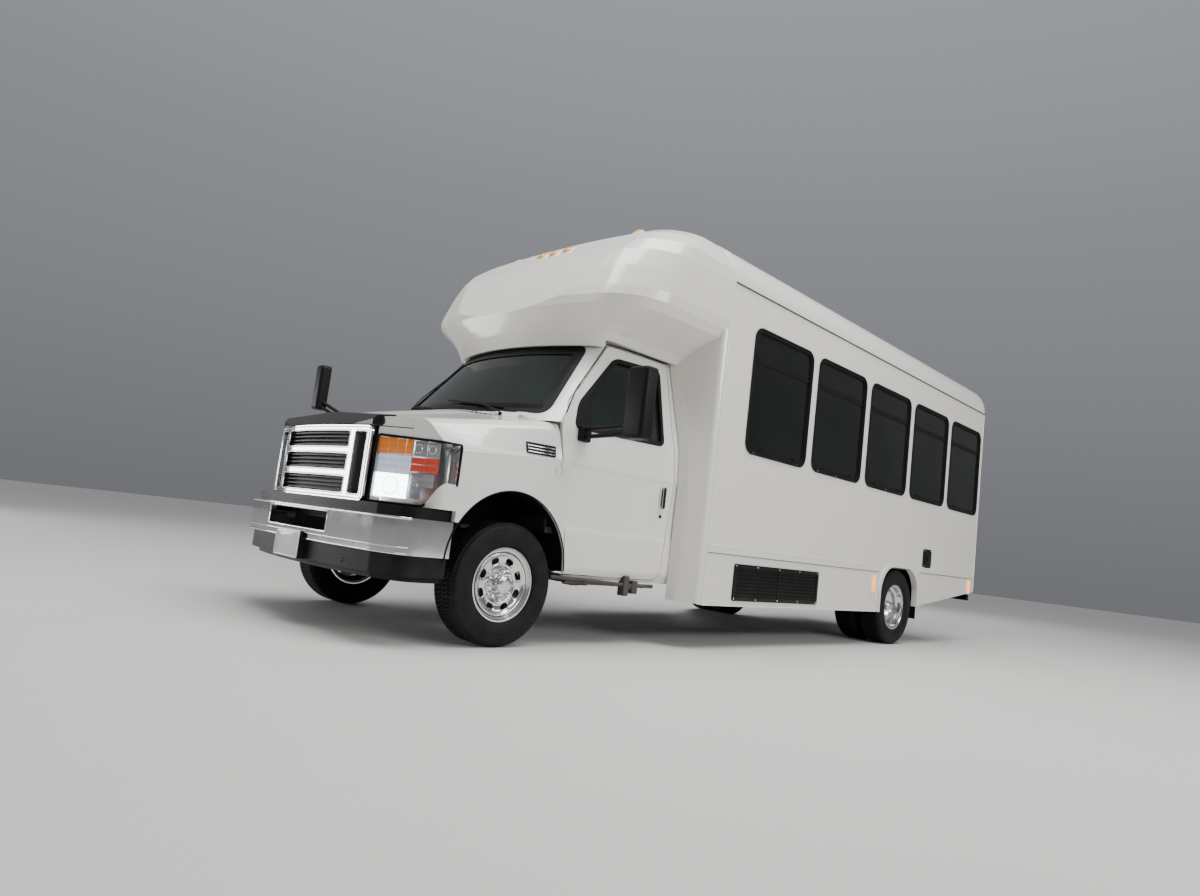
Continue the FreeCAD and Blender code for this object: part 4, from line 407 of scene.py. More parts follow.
def rounded_face(bm, places, radius, segments=6):
    """One flat face through a few corners, its corners rounded."""
    verts = [bm.verts.new(place) for place in places]
    bm.faces.new(verts)
    made = softened(bm, verts, radius, segments, "VERTICES")["verts"]
    return max({face for vert in made for face in vert.link_faces}, key=lambda face: face.calc_area())


def thickened(bm, faces, move):
    """Extrude faces by a vector and keep the first ones as the back."""
    made = bmesh.ops.extrude_face_region(bm, geom=list(faces), use_keep_orig=True)["geom"]
    bmesh.ops.translate(bm, vec=move, verts=[item for item in made if isinstance(item, bmesh.types.BMVert)])
    return [item for item in made if isinstance(item, bmesh.types.BMFace)]


def slab(bm, places, radius, move, edge):
    """Plate with rounded corners, thickened by a vector, its outer rim softened."""
    top = thickened(bm, [rounded_face(bm, places, radius)], move)
    softened(bm, [rim for face in top for rim in face.edges], edge)


def hollowed(bm, face, width):
    """Turn a face into a frame, its width in the face's own units."""
    rim = bmesh.ops.inset_region(bm, faces=[face], thickness=width, use_even_offset=True, use_boundary=True)["faces"]
    bmesh.ops.delete(bm, geom=[face], context="FACES_ONLY")
    return rim


def ring(bm, places, radius, width, move, edge):
    """Frame round an opening, thickened by a vector, its borders softened."""
    top = set(thickened(bm, hollowed(bm, rounded_face(bm, places, radius), width / 1000), move))
    softened(bm, [e for face in top for e in face.edges if sum(f in top for f in e.link_faces) == 1], edge)


def applied(holder):
    """Mesh of an object with its curve or modifiers applied."""
    bpy.context.view_layer.update()
    return bpy.data.meshes.new_from_object(holder.evaluated_get(bpy.context.evaluated_depsgraph_get()))


def bead(places, radius, closed=False, order=2):
    """Mesh of a round bead along a few places; an order of 3 rounds its corners."""
    curve = bpy.data.curves.new("bead", "CURVE")
    curve.dimensions = "3D"
    curve.bevel_depth, curve.bevel_resolution = radius / 1000, 3
    curve.use_fill_caps = True
    spline = curve.splines.new("NURBS" if order > 2 else "POLY")
    spline.points.add(len(places) - 1)
    for point, place in zip(spline.points, places):
        point.co = (*place, 1)
    spline.use_cyclic_u = closed
    if order > 2:
        spline.order_u = order
        spline.use_endpoint_u = not closed
        spline.resolution_u = 6
    holder = linked("bead", curve)
    mesh = applied(holder)
    bpy.data.objects.remove(holder)
    return mesh


def joined(name, meshes, finish, body="vehicle"):
    """Piece made of one or more meshes as they are."""
    with part(name, finish, body) as bm:
        for mesh in meshes:
            bm.from_mesh(mesh)
            bpy.data.meshes.remove(mesh)


def line(name, places, radius, finish, body="vehicle", closed=False, order=2):
    """Bead, wire or rubber strip along a few places, as a piece of its own."""
    joined(name, [bead(places, radius, closed, order)], finish, body)


# Wheels and tyres. Profiles are (distance outward along the axle, radius).
WHEELS = [
    # corner, body, x of the wheels' centres, y of the axle
    ("front_left", "wheel_front_left", (881.5,), 0),
    ("front_right", "wheel_front_right", (-881.5,), 0),
    ("rear_left", "wheels_rear_left", (1095, 825), WHEELBASE),
    ("rear_right", "wheels_rear_right", (-1095, -825), WHEELBASE),
]
TREAD_STEPS, TREAD_DEPTH = 88, 8
TREAD_GROOVES = (-84, -52, -17, 17, 52, 84)
TREAD_LAGS = (0.0, 0.42, -0.2, 0.2, -0.42, 0.0)
TYRE_SIDE = [(76, 203.5), (79, 221), (92, 229), (101, 238), (106.5, 252), (110.5, 270), (111.3, 284), (109.5, 286),
             (109.5, 300), (111.0, 302), (109.0, 318), (106.5, 330), (107.0, 333), (103.5, 343), (98.5, 352)]
RIM = [(88, 220), (78, 220), (76, 202.5), (38, 199), (26, 175), (-26, 175), (-38, 199), (-76, 202.5), (-78, 220),
       (-88, 220), (-88, 212), (-80, 212), (-68, 195), (-34, 191), (-22, 167), (22, 167), (34, 191), (68, 195),
       (80, 212), (88, 212), (88, 220)]
DISH = [(60, 192), (70, 190), (77, 184), (75, 177), (66, 168), (61, 159), (56, 125), (58, 115), (53, 105), (42, 100),
        (42, 60), (54, 57.5), (94, 56), (106, 51), (110, 42), (110, 20), (110, 0)]
DISH_STEPS = 32
DISC = [(-38, 40), (-38, 148), (-30, 149), (-20, 149), (-20, 136), (-10, 136), (-10, 149), (8, 149), (10, 146),
        (10, 96), (32, 96), (32, 40), (-38, 40)]
DISC_VANE = [(-6, 0), (-6, 4), (6, 4), (6, 0)]
NUT = [(-6, 0), (-6, 19.5), (2, 19.5), (4, 17.0), (22, 15.2), (30, 12.5), (35, 7), (36.5, 0)]
NUT_SEAT = [(-4, 0), (-4, 24), (0, 24), (1.5, 21), (1.5, 0)]
HUB_CAP = [(-22, 0), (-22, 47), (-6, 45.5), (0, 41), (1.5, 34), (4.5, 31), (5.5, 12), (4.5, 0)]
VALVE = [(-20, 0), (-20, 5.5), (0, 5.5), (3, 3.6), (26, 3.4), (26, 4.6), (36, 4.6), (38, 3), (38, 0)]
LUG_CIRCLE = 82.55
DISC_VANES_AT, HAND_HOLES = 0.141, (0.122, 0.158)  # radii in metres


def tyre(bm, x, y):
    """One tyre: sidewalls with rings, then a base drum whose rib faces are raised into blocks."""
    outline = TYRE_SIDE + [(groove, TYRE_RADIUS - TREAD_DEPTH) for groove in reversed(TREAD_GROOVES)]
    outline += [(-ahead, radius) for ahead, radius in reversed(TYRE_SIDE)]
    centre = fit(x, y, TYRE_RADIUS)
    before = set(bm.faces)
    points = [centre + Vector((ahead / 1000, 0, radius / 1000)) for ahead, radius in outline]
    turned(bm, points + points[:1], centre, (1, 0, 0), TREAD_STEPS)
    limit = (TYRE_RADIUS - TREAD_DEPTH - 1.5) / 1000
    drum = [f for f in bm.faces if f not in before
            and all(((v.co.y - centre.y) ** 2 + (v.co.z - centre.z) ** 2) ** 0.5 > limit for v in f.verts)]
    for groove, lag in zip(TREAD_GROOVES, TREAD_LAGS):
        ringed = [v for v in {v for f in drum for v in f.verts} if abs((v.co.x - centre.x) * 1000 - groove) < 1]
        bmesh.ops.rotate(bm, cent=centre, verts=ringed, matrix=Matrix.Rotation(lag * math.tau / TREAD_STEPS, 3, "X"))
    bmesh.ops.recalc_face_normals(bm, faces=[f for f in bm.faces if f not in before])
    bmesh.ops.inset_individual(bm, faces=drum, thickness=0.0032, depth=0.0078, use_even_offset=True)


def tyres():
    for corner, body, centres, y in WHEELS:
        node = ("tyres_" if y else "tyre_") + corner
        with part("treaded_" + node, RUBBER, body, sharp=32, replaced=(node,)) as bm:
            for x in centres:
                tyre(bm, x, y)


def spokes(count):
    """Even directions round a circle, as cosines and sines."""
    return [(math.cos(math.tau * i / count), math.sin(math.tau * i / count)) for i in range(count)]


def front_wheels():
    """Rim, dished cover with rounded hand holes, and brake disc of each front wheel."""
    for corner, body, (x,), y in WHEELS[:2]:
        centre = fit(x, y, TYRE_RADIUS)
        out = 1 if x > 0 else -1
        with part("rim_" + corner, COVER_STEEL, body, sharp=30, replaced=("wheel_" + corner,)) as bm:
            lathe(bm, centre, (out, 0, 0), RIM, 72)
        bm = bmesh.new()
        lathe(bm, centre, (out, 0, 0), DISH, DISH_STEPS)
        holes = []
        for face in bm.faces:
            middle = face.calc_center_median() - centre
            turn = (math.atan2(middle.z, middle.y) / math.tau * DISH_STEPS) % 4
            if HAND_HOLES[0] < math.hypot(middle.y, middle.z) < HAND_HOLES[1] and 1 < turn < 3:
                holes.append(face)
        bmesh.ops.delete(bm, geom=holes, context="FACES")
        cover = added("wheel_cover_" + corner, bm, COVER_STEEL, body, sharp=50)
        wall = cover.modifiers.new("wall", "SOLIDIFY")
        wall.thickness, wall.offset = 0.004, -1
        smooth = cover.modifiers.new("smooth", "SUBSURF")
        smooth.levels = smooth.render_levels = 2
        with part("brake_disc_" + corner, DISC_IRON, body, sharp=30) as bm:
            lathe(bm, centre, (out, 0, 0), DISC, 56)
            for ahead, up in spokes(30):
                place = centre + Vector((-0.015 * out, DISC_VANES_AT * ahead, DISC_VANES_AT * up))
                lathe(bm, place, (out, 0, 0), DISC_VANE, 6)


def wheel_nuts():
    """Capped nuts, a stepped hub cap and a valve on each outer wheel."""
    for corner, body, (x, *_), y in WHEELS:
        out = 1 if x > 0 else -1
        nut_seat, hub = (-56, 52) if y else (42, 110)
        with part("wheel_nuts_" + corner, COVER_STEEL, body, sharp=30) as bm:
            for ahead, up in spokes(8):
                place = fit(out * (abs(x) + nut_seat), y + LUG_CIRCLE * ahead, TYRE_RADIUS + LUG_CIRCLE * up)
                lathe(bm, place, (out, 0, 0), NUT, 6)
                lathe(bm, place, (out, 0, 0), NUT_SEAT, 20)
            lathe(bm, fit(out * (abs(x) + hub), y, TYRE_RADIUS), (out, 0, 0), HUB_CAP, 40)
        with part("valve_" + corner, COVER_STEEL, body) as bm:
            lathe(bm, fit(out * (abs(x) + 60), y + 178, TYRE_RADIUS), (out, 0, 0), VALVE, 14)


# Curved surfaces that trim is laid on. The cab's glass stands on GLASS_FOOT and leans in by GLASS_LEAN.
GLASS_FOOT, GLASS_HEIGHT, GLASS_LEAN = 1400, 675, 195


def screen_at(x, z, proud):
    """Place on the windscreen's outer face: a bowed, leaning surface."""
    share = (z - GLASS_FOOT) / GLASS_HEIGHT
    side_x, side_y, front_y = 930 - GLASS_LEAN * share, 235 + 515 * share, 20 + 570 * share
    y = front_y + (side_y - front_y) * (x / side_x) ** 2
    return fit(x * (1 + proud * 0.0003), y - proud * 0.76, z + proud * 0.65)


def cab_side_at(y, z, proud, side):
    """Place on the leaning side of the cab above its belt."""
    x = 990 - GLASS_LEAN * (z - GLASS_FOOT) / GLASS_HEIGHT
    return fit(side * (x + proud * 0.96), y, z + proud * 0.28)


def nose_side_at(y, z, proud, side):
    """Place on the near vertical flank of the wing or door."""
    crease = 1165 + (y - 400) * 0.02
    x = 1001 + 5 * max(0, 1 - abs(z - crease) / 70)
    return fit(side * (x + proud), y, z)


def surface_of(*meshes):
    """Ray lookup on meshes."""
    bm = bmesh.new()
    for mesh in meshes:
        bm.from_mesh(mesh)
    tree = BVHTree.FromBMesh(bm)
    bm.free()
    return tree


def skin_lookup(*nodes):
    """Ray lookup on CAD nodes' faces."""
    return surface_of(*[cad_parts[name].data for name in nodes])


WING_SKIN = skin_lookup("front_wings", "hood")


def wing_at(y, z, proud, side):
    """Place on the outside of the left or right wing."""
    start = fit(side * 1150, y, z)
    hit = WING_SKIN.ray_cast(start, Vector((-side, 0, 0)), 0.4)[0] or fit(side * 1000, y, z)
    return hit + Vector((side * proud / 1000, 0, 0))


def band(bm, outline, radius, width, depth, place, cuts=3):
    """Flat band round an outline, laid on a surface by a function of (a, b, height above it)."""
    hollowed(bm, rounded_face(bm, [Vector((a, 0, b)) for a, b in outline], radius * 1000, 5), width)
    long_edges = [edge for edge in bm.edges if edge.calc_length() > width * 2.5]
    bmesh.ops.subdivide_edges(bm, edges=long_edges, cuts=cuts, use_grid_fill=False)
    thickened(bm, bm.faces[:], (0, depth, 0))
    for vert in bm.verts:
        vert.co = place(vert.co.x, vert.co.z, vert.co.y)


# Headlamps
def lamp_at(x, z, behind):
    """Place behind the left headlamp's sloping front."""
    return fit(x - 0.448 * behind, -748 + (x - 600) * 0.501 + 0.894 * behind, z)


def lamp_cell(bm, x0, x1, z0, z1, behind, thick, radius=6):
    outline = [lamp_at(x, z, behind) for x, z in corners(x0, x1, z0, z1)]
    slab(bm, outline, radius, lamp_at(0, 0, behind - thick) - lamp_at(0, 0, behind), 1.5)


def skin_of(node, outside):
    """A copy of a CAD node's faces whose outward side passes a test."""
    bm = bmesh.new()
    bm.from_mesh(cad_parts[node].data)
    bmesh.ops.remove_doubles(bm, verts=bm.verts, dist=1e-5)
    bmesh.ops.delete(bm, geom=[face for face in bm.faces if not outside(face)], context="FACES")
    return bm


def faces_front(face):
    side = 1 if face.calc_center_median().x > 0 else -1
    return face.normal.x * side * 0.45 - face.normal.y * 0.89 > 0.35


def rim_loops(bm):
    """Ordered places round each open edge of a mesh."""
    left = dict.fromkeys(edge for edge in bm.edges if edge.is_boundary)
    loops = []
    while left:
        edge = next(iter(left))
        del left[edge]
        first, at = edge.verts
        loop = [first, at]
        while at is not first:
            edge = next((near for near in at.link_edges if near in left), None)
            if edge is None:
                break
            del left[edge]
            at = edge.other_vert(at)
            loop.append(at)
        loops.append([vert.co.copy() for vert in loop[:-1]])
    return loops


LAMP_CELLS = [
    # name, finish, cells of x from, to, z from, to, depth behind the lens, thickness, corner radius
    ("turn_lamp", AMBER_GLASS, [(614, 664, 1044, 1132, 13, 7), (668, 716, 1044, 1132, 13, 7),
                                (720, 768, 1044, 1130, 13, 7), (772, 808, 1044, 1130, 13, 7)]),
    ("outer_lamp", CLEAR_CELL, [(818, 890, 1040, 1126, 18, 6), (894, 962, 1040, 1122, 18, 6)]),
    # The side reflector cells glow: painted glow
    ("side_reflector", REFLECTOR_PAINTED_GLOW, [(814, 888, 952, 990, 13, 8), (892, 966, 952, 990, 13, 8),
                                    (814, 888, 994, 1030, 13, 8), (892, 966, 994, 1030, 13, 8)]),
    ("main_beam", BEAM, [(616, 806, 796, 930, 20, 6)]),
    ("lower_cell", CLEAR_CELL, [(812, 880, 800, 944, 26, 6), (884, 945, 870, 944, 26, 6)]),
    ("upper_beam_flutes", FLUTED, [(x, x + 18.5, 936, 1036, 18, 5, 3) for x in [616 + i * 21.4 for i in range(9)]]),
    ("lamp_dividers", CHROME, [(606, 970, 1036, 1042, 12, 4, 1), (808, 813, 800, 1132, 12, 4, 1),
                               (616, 806, 930, 936, 12, 4, 1)]),
]
BULB_RINGS = ((711, 862, 52), (845, 1082, 26), (925, 1082, 24), (846, 880, 24))


def headlamps():
    lens = skin_of("headlamps", faces_front)
    for number, places in enumerate(rim_loops(lens)):
        if len(places) > 6:
            line("headlamp_rim_%d" % number, places, 8, BLACK_PLASTIC, closed=True)
    bmesh.ops.solidify(lens, geom=lens.faces[:], thickness=0.003)
    added("headlamp_lens", lens, CLEAR_LENS, tidy=False)
    box_back = skin_of("headlamps", lambda face: not faces_front(face))
    bmesh.ops.solidify(box_back, geom=box_back.faces[:], thickness=-0.0015)
    added("headlamp_housing", box_back, REFLECTOR, replaced=("headlamps",), tidy=False)
    for name, finish, cells in LAMP_CELLS:
        with part(name, finish) as bm:
            for cell in cells:
                lamp_cell(bm, *cell)
            mirror_over(bm)
    with part("bulb_rings", CHROME) as bm:
        for x, z, size in BULB_RINGS:
            profile = [(0, size), (4, size), (5, size - 2), (4, size - 4), (0, size - 4), (0, size)]
            lathe(bm, lamp_at(x, z, 10), (0.45, -0.89, 0), profile, 36)
        mirror_over(bm)


# Nose, bumper and plate
NOSE_SKINS = {name: skin_lookup(name) for name in ("front_bumper", "grille")}
GRILLE_BOTTOM, GRILLE_TOP, GRILLE_HALF, GRILLE_RIM, GRILLE_BAR, GRILLE_ROWS = 757, 1190, 585, 34, 40, 3
PLATE_FACE = -904.5


def nose_at(node, x, z):
    """Place 1 mm inside the front of the bumper or the grille."""
    hit = NOSE_SKINS[node].ray_cast(fit(x, -1150, z), Vector((0, 1, 0)), 0.6)[0]
    return (hit or fit(x, -860, z)) + Vector((0, 0.001, 0))


def lip(node, x0, x1, z0, z1, radius):
    """Round bead mesh along the border of an opening in the bumper or the grille."""
    spots = [x0 + (x1 - x0) * i / 12 for i in range(13)]
    places = [nose_at(node, x, z0) for x in spots] + [nose_at(node, x, z1) for x in reversed(spots)]
    return bead(places, radius, True)


def nose_beads():
    rolls = [bead([nose_at("front_bumper", -990 + i * 990 / 40, z) for i in range(81)], radius)
             for z, radius in ((690, 7), (534, 4), (500, 6))]
    joined("bumper_rolls", rolls + [lip("front_bumper", -386, 386, 559, 678, 6)], CHROME)
    low, high = GRILLE_BOTTOM + GRILLE_RIM, GRILLE_TOP - 2 - GRILLE_RIM
    opening = (high - low - (GRILLE_ROWS - 1) * GRILLE_BAR) / GRILLE_ROWS
    feet = [low + i * (opening + GRILLE_BAR) for i in range(GRILLE_ROWS)]
    lips = [lip("grille", -400, 400, foot - 5, foot + opening + 5, 4) for foot in feet]
    end = GRILLE_HALF - 2 - GRILLE_RIM + 5
    lips += [lip("grille", x0, x1, low - 5, high + 5, 4) for x0, x1 in ((-end, -445), (445, end))]
    lips.append(lip("grille", 14 - GRILLE_HALF, GRILLE_HALF - 14, GRILLE_BOTTOM + 12, GRILLE_TOP - 14, 5))
    joined("grille_lips", lips, CHROME)


def front_trim():
    with part("plate_border", PLATE_RIM, slot="bright_metal") as bm:
        ring(bm, crosswise(PLATE_FACE, -160, 160, 380, 540), 8, 9, (0, -0.0035, 0), 0.8)
    with part("blank_plate", PLATE_BLANK) as bm:
        slab(bm, crosswise(PLATE_FACE + 0.2, -158, 158, 382, 538), 7, (0, -0.0015, 0), 0.4)
    with part("plate_bolts", COVER_STEEL) as bm:
        for x in (-88.9, 88.9):
            lathe(bm, fit(x, -906, 518), (0, -1, 0), [(-2, 0), (-2, 8), (1.5, 8), (4, 5.5), (4.5, 0)], 18)
            block(bm, (x - 5, -911.2, 517), (x + 5, -910, 519))
    with part("valance_louvres", BLACK_PLASTIC) as bm:
        for x, i in product((-470, 470), range(4)):
            block(bm, (x - 90, -842 + 26 * abs(i - 1.5), 392 + i * 16), (x + 90, -800, 398 + i * 16), 1.5)
    with part("grille_foot_ribs", BLACK_PLASTIC) as bm:
        for z in (700, 748):
            block(bm, (-570, -802, z - 3), (570, -780, z + 3), 2)


WIPER_PIVOT = [(-14, 0), (-14, 17), (8, 15), (13, 10), (14, 0)]


def windscreen_trim():
    with part("screen_seal", BLACK_RUBBER) as bm:
        band(bm, [(-880, 1446), (880, 1446), (720, 2018), (-720, 2018)], 72, 34, 3, screen_at, 8)
    with part("screen_dark_border", BLACK_GLAZE) as bm:
        band(bm, [(-868, 1456), (868, 1456), (710, 2008), (-710, 2008)], 66, 62, 0.8, screen_at, 8)
    for side, pivot, tip in (("left", 560, -60), ("right", -190, -800)):
        middle = (pivot + tip) / 2
        arm = [(pivot, 1432, 16), (pivot - 40, 1446, 26), (middle + 60, 1500, 20), (middle, 1517, 14)]
        line("wiper_arm_" + side, [screen_at(*spot) for spot in arm], 5.5, BLACK_PLASTIC, order=3)
        blade = [screen_at(tip + (pivot - tip) * i / 10 * 0.98, 1474 + 64 * (1 - i / 10), 9) for i in range(11)]
        line("wiper_blade_" + side, blade, 6.5, BLACK_RUBBER)
        with part("wiper_pivot_" + side, BLACK_PLASTIC) as bm:
            lathe(bm, screen_at(pivot, 1430, -2), (0, -0.76, 0.65), WIPER_PIVOT, 24)
    with part("scuttle_louvres", BLACK_PLASTIC) as bm:
        for i in range(31):
            x = -600 + i * 40
            y = 8 + 215 * (x / 930) ** 2
            z = 1451 - 40 * (abs(x) / 600) ** 1.5
            block(bm, (x - 13, y - 9, z - 8), (x + 13, y + 9, z + 3), 2)


# Cab doors and wings. Outlines are (y, z).
DOOR_GLASS = [(392, 1378), (446, 1560), (842, 1962), (1338, 1988), (1292, 1402)]
MIRROR_SAIL = [(405, 1392), (455, 1560), (548, 1652), (548, 1398)]
DRIP_RAIL = [(330, 1472), (430, 1642), (780, 2044), (1000, 2056), (1440, 2063)]
WING_CREASE = [(-470, 1196), (-380, 1192), (-200, 1186), (-40, 1180), (20, 1177)]
FENDER_VENT = [(28, 1164), (258, 1168), (258, 1238), (28, 1234)]
DOOR_HANDLE = [
    # piece, finish, y from, to, z from, to, height above the door, thickness in metres, edge radius
    ("handle_dish_", CAB_WHITE, (1288, 1346, 930, 1128), 1, 0.004, 1.2),
    ("door_handle_", BLACK_PLASTIC, (1300, 1332, 962, 1116), 4, 0.022, 5),
]
DOOR_LOCK = [(-3, 0), (-3, 13), (2, 12.5), (3.5, 10), (2.5, 8), (2.5, 0)]


def door_trim():
    for side, name in SIDES:
        body = "cab_door_" + name
        with part("door_seal_" + name, BLACK_RUBBER, body) as bm:
            band(bm, DOOR_GLASS, 55, 30, 5, lambda y, z, h: cab_side_at(y, z, h, side), 4)
        with part("mirror_sail_" + name, BLACK_PLASTIC, body) as bm:
            face = rounded_face(bm, [Vector((a, 0, b)) for a, b in MIRROR_SAIL], 22000, 4)
            thickened(bm, [face], (0, 14, 0))
            for vert in bm.verts:
                vert.co = cab_side_at(vert.co.x, vert.co.z, vert.co.y - 10, side)
        for kind, finish, box, proud, thick, edge in DOOR_HANDLE:
            with part(kind + name, finish, body) as bm:
                outline = [nose_side_at(y, z, proud, side) for y, z in corners(*box)]
                slab(bm, outline, 14, (side * thick, 0, 0), edge)
        with part("door_lock_" + name, BLACK_PLASTIC, body) as bm:
            lathe(bm, nose_side_at(1318, 906, 0, side), (side, 0, 0), DOOR_LOCK, 24)
        line("drip_rail_" + name, [cab_side_at(y, z, 4, side) for y, z in DRIP_RAIL], 4.5, BLACK_RUBBER)


def fender_vents():
    for side, name in SIDES:
        with part("fender_vent_back_" + name, BLACK_PLASTIC) as bm:
            slab(bm, [wing_at(y, z, 1, side) for y, z in FENDER_VENT], 8, (side * 0.006, 0, 0), 2)
        with part("fender_vent_louvres_" + name, COVER_STEEL) as bm:
            for low in (1174, 1193, 1212):
                outline = [(38, low), (248, low + 4), (248, low + 12), (38, low + 8)]
                slab(bm, [wing_at(y, z, 4, side) for y, z in outline], 3, (side * 0.006, 0, 0), 1.5)
        line("wing_crease_" + name, [wing_at(y, z, -1.2, side) for y, z in WING_CREASE], 2.6, CAB_WHITE)
        crease = [nose_side_at(y, 1150 + (y - 330) * 0.006, 0.4, side) for y in (352, 700, 1100, 1405)]
        line("door_crease_" + name, crease, 2.4, CAB_WHITE, "cab_door_" + name)


# Mirrors
def mirror_housing(name, body, node, x, y, bottom, top, half_width, half_depth, arms):
    """Rounded shell, its glass facing rearward, and two jointed arms."""
    with part(name, BLACK_PLASTIC, body, replaced=(node,)) as bm:
        verts = bmesh.ops.create_cube(bm, size=1.0)["verts"]
        bmesh.ops.scale(bm, vec=Vector((half_width * 2, half_depth * 2, top - bottom)) / 1000, verts=verts)
        bmesh.ops.translate(bm, vec=fit(x, y, (top + bottom) / 2), verts=verts)
        rear = max(bm.faces, key=lambda face: face.calc_center_median().y)
        softened(bm, [edge for edge in bm.edges if edge not in set(rear.edges)], 26, 5)
        rear = max(bm.faces, key=lambda face: (face.calc_center_median().y, face.calc_area()))
        for border, drop in ((0.007, -0.001), (0.002, -0.008)):
            bmesh.ops.inset_region(bm, faces=[rear], thickness=border, depth=drop, use_even_offset=True)
        for start, end in arms:
            before = set(bm.verts)
            bmesh.ops.create_cone(bm, cap_ends=True, segments=16, radius1=0.015, radius2=0.014, depth=1.0)
            rod_verts = [vert for vert in bm.verts if vert not in before]
            run = end - start
            turn = run.to_track_quat("Z", "Y").to_matrix().to_4x4()
            bmesh.ops.scale(bm, vec=(1.15, 0.95, run.length), verts=rod_verts)
            bmesh.ops.transform(bm, matrix=Matrix.Translation((start + end) / 2) @ turn, verts=rod_verts)
    with part(name + "_glass", MIRROR_SILVER, body) as bm:
        edge, split = 12, bottom + (top - bottom) * 0.3
        x0, x1 = x - half_width + edge, x + half_width - edge
        for low, high in ((bottom + edge, split - 4), (split + 4, top - edge)):
            slab(bm, crosswise(y + half_depth - 5, x0, x1, low, high), 12, (0, 0.003, 0), 0.6)


def mirrors():
    arms = [(fit(1006, 472, z), fit(1435, 475, 1322 + rise)) for z, rise in ((1336, 36), (1386, 86))]
    mirror_housing("door_mirror_shell", "cab_door_left", "door_mirror", 1455, 475, 1322, 1770, 84, 48, arms)
    with part("door_mirror_foot", BLACK_PLASTIC, "cab_door_left") as bm:
        block(bm, (988, 428, 1304), (1031, 522, 1408), 12, 4)
    with part("wing_mirror_foot", BLACK_PLASTIC) as bm:
        block(bm, (-1018, 58, 1222), (-953, 152, 1313), 12, 4)
    arms = [(fit(-992, 106, z), fit(-1450, -165, 1455 + rise)) for z, rise in ((1251, 31), (1286, 76))]
    mirror_housing("wing_mirror_shell", "vehicle", "wing_mirror", -1470, -165, 1455, 1820, 54, 42, arms)


# Bus body
BODY_SIDE, BODY_SEAM, REAR_FACE = 1220, 1611, 6830
ROOF_EDGE = [(1219, 2709), (1214, 2780), (1190, 2870), (1135, 2950), (1040, 3010), (900, 3050), (500, 3098), (0, 3112)]
LEFT_WINDOWS = [1955 + i * 980 for i in range(5)]
WINDOW_RUBBER = (-9, 876, 1472, 2465)  # y from and to, from the window's front, and z from and to
WINDOW_PANES = ((26, 841, 1507, 2200), (26, 841, 2224, 2430))
SIDE_MARKERS = ((4255, 580), (6660, 644))
ROOF_LAMPS = ((700, 1072, 2996), (-700, 1072, 2996), (150, 869, 2879), (-150, 869, 2879), (0, 865, 2875))
RIVET = [(0, 0), (0, 9), (3, 8), (5, 4), (5.5, 0)]
LATCH_KNOB = [(0, 0), (0, 8), (6, 7), (7, 0)]
WINDOW_SCREW = [(0, 0), (0, 4.5), (2.2, 3), (2.5, 0)]
VENT_SCREW = [(0, 0), (0, 6.5), (2, 5.5), (3, 0)]
FLAP_SCREW = [(0, 0), (0, 5.5), (2, 4.5), (2.6, 0)]
LAMP_FOOT = [(-12, 0), (-12, 58), (2, 57), (6, 51), (6, 0)]
LAMP_DOME = [(4, 0), (4, 46), (13, 43), (20, 34), (25, 18), (26, 0)]
TAIL_BEZEL = [(0, 52.5), (0, 66), (8, 64), (14, 58), (14, 52.5), (0, 52.5)]
TAIL_LENS = [(20, 0), (20, 44), (24, 42), (26, 30), (27, 0)]


def body_beads():
    for side, name in SIDES:
        seam = [(BODY_SIDE, z) for z in (330, 1500, 2690)] + [(x + 1, z - 6) for x, z in ROOF_EDGE]
        line("seam_bead_" + name, [fit(side * x, BODY_SEAM, z) for x, z in seam], 7, SEALER)
        # The gutter bead is grey: the gutter with its painted shadow under the roof edge
        line("gutter_" + name, [fit(side * 1222, y, 2711) for y in (1640, 4200, 6815)], 6.5, SHADOW_LINE_GREY)
        # The right side's front moulding stops for the entry door
        spots = [("front", 1626, 4366, 753)] if side == 1 else [("corner", 1626, 1790, 753), ("front", 2810, 4366, 753)]
        for spot, y0, y1, z in spots + [("rear", 5288, 6764, 793)]:
            # The foot bead under each moulding is a painted shadow line; the bead above it is the moulding's edge
            for kind, x, drop, radius, finish in (("bead", 1226, 0, 4.5, SEALER), ("foot", 1223, 55, 3, SHADOW_LINE_GREY)):
                places = [fit(side * x, y, z - drop) for y in (y0, (y0 + y1) / 2, y1)]
                line("moulding_%s_%s_%s" % (kind, spot, name), places, radius, finish)
        line("skirt_edge_" + name, [fit(side * BODY_SIDE, y, 321) for y in (1620, 4340)], 4, SEALER)
        line("corner_bead_" + name, [fit(side * 1217, REAR_FACE - 2, z) for z in (600, 1700, 2700)], 5, SEALER)
    with part("roof_rivets", SEALER) as bm:
        for x, i in product((-820, -280, 280, 820), range(7)):
            z = 3118 - 0.00010 * x * x - (x / 1000) ** 4 * 6
            lathe(bm, fit(x, 1800 + i * 800, z - 26), (0, 0, 1), RIVET, 10)


def window_trim():
    with (part("window_screws", COVER_STEEL) as screws, part("window_latches", BLACK_PLASTIC) as latches,
          part("window_rubbers", BLACK_RUBBER) as rubbers):
        for side, y in [(1, y) for y in LEFT_WINDOWS] + [(-1, y) for y in LEFT_WINDOWS[1:]]:
            y0, y1, low, high = WINDOW_RUBBER
            ring(rubbers, lengthwise(side * 1223.4, y + y0, y + y1, low, high), 96, 13, (side * 0.005, 0, 0), 2)
            for y0, y1, low, high in WINDOW_PANES:
                ring(rubbers, lengthwise(side * 1209, y + y0, y + y1, low, high), 60, 9, (side * 0.006, 0, 0), 1.5)
            for at in (y + 190, y + 680):
                block(latches, (side * 1196, at, 1514), (side * 1209, at + 56, 1534), 4)
                lathe(latches, fit(side * 1206, at + 28, 1524), (side, 0, 0), LATCH_KNOB, 14)
            for at in (y + 120, y + 433, y + 750):
                lathe(screws, fit(side * 1223, at, 1486), (side, 0, 0), WINDOW_SCREW, 10)


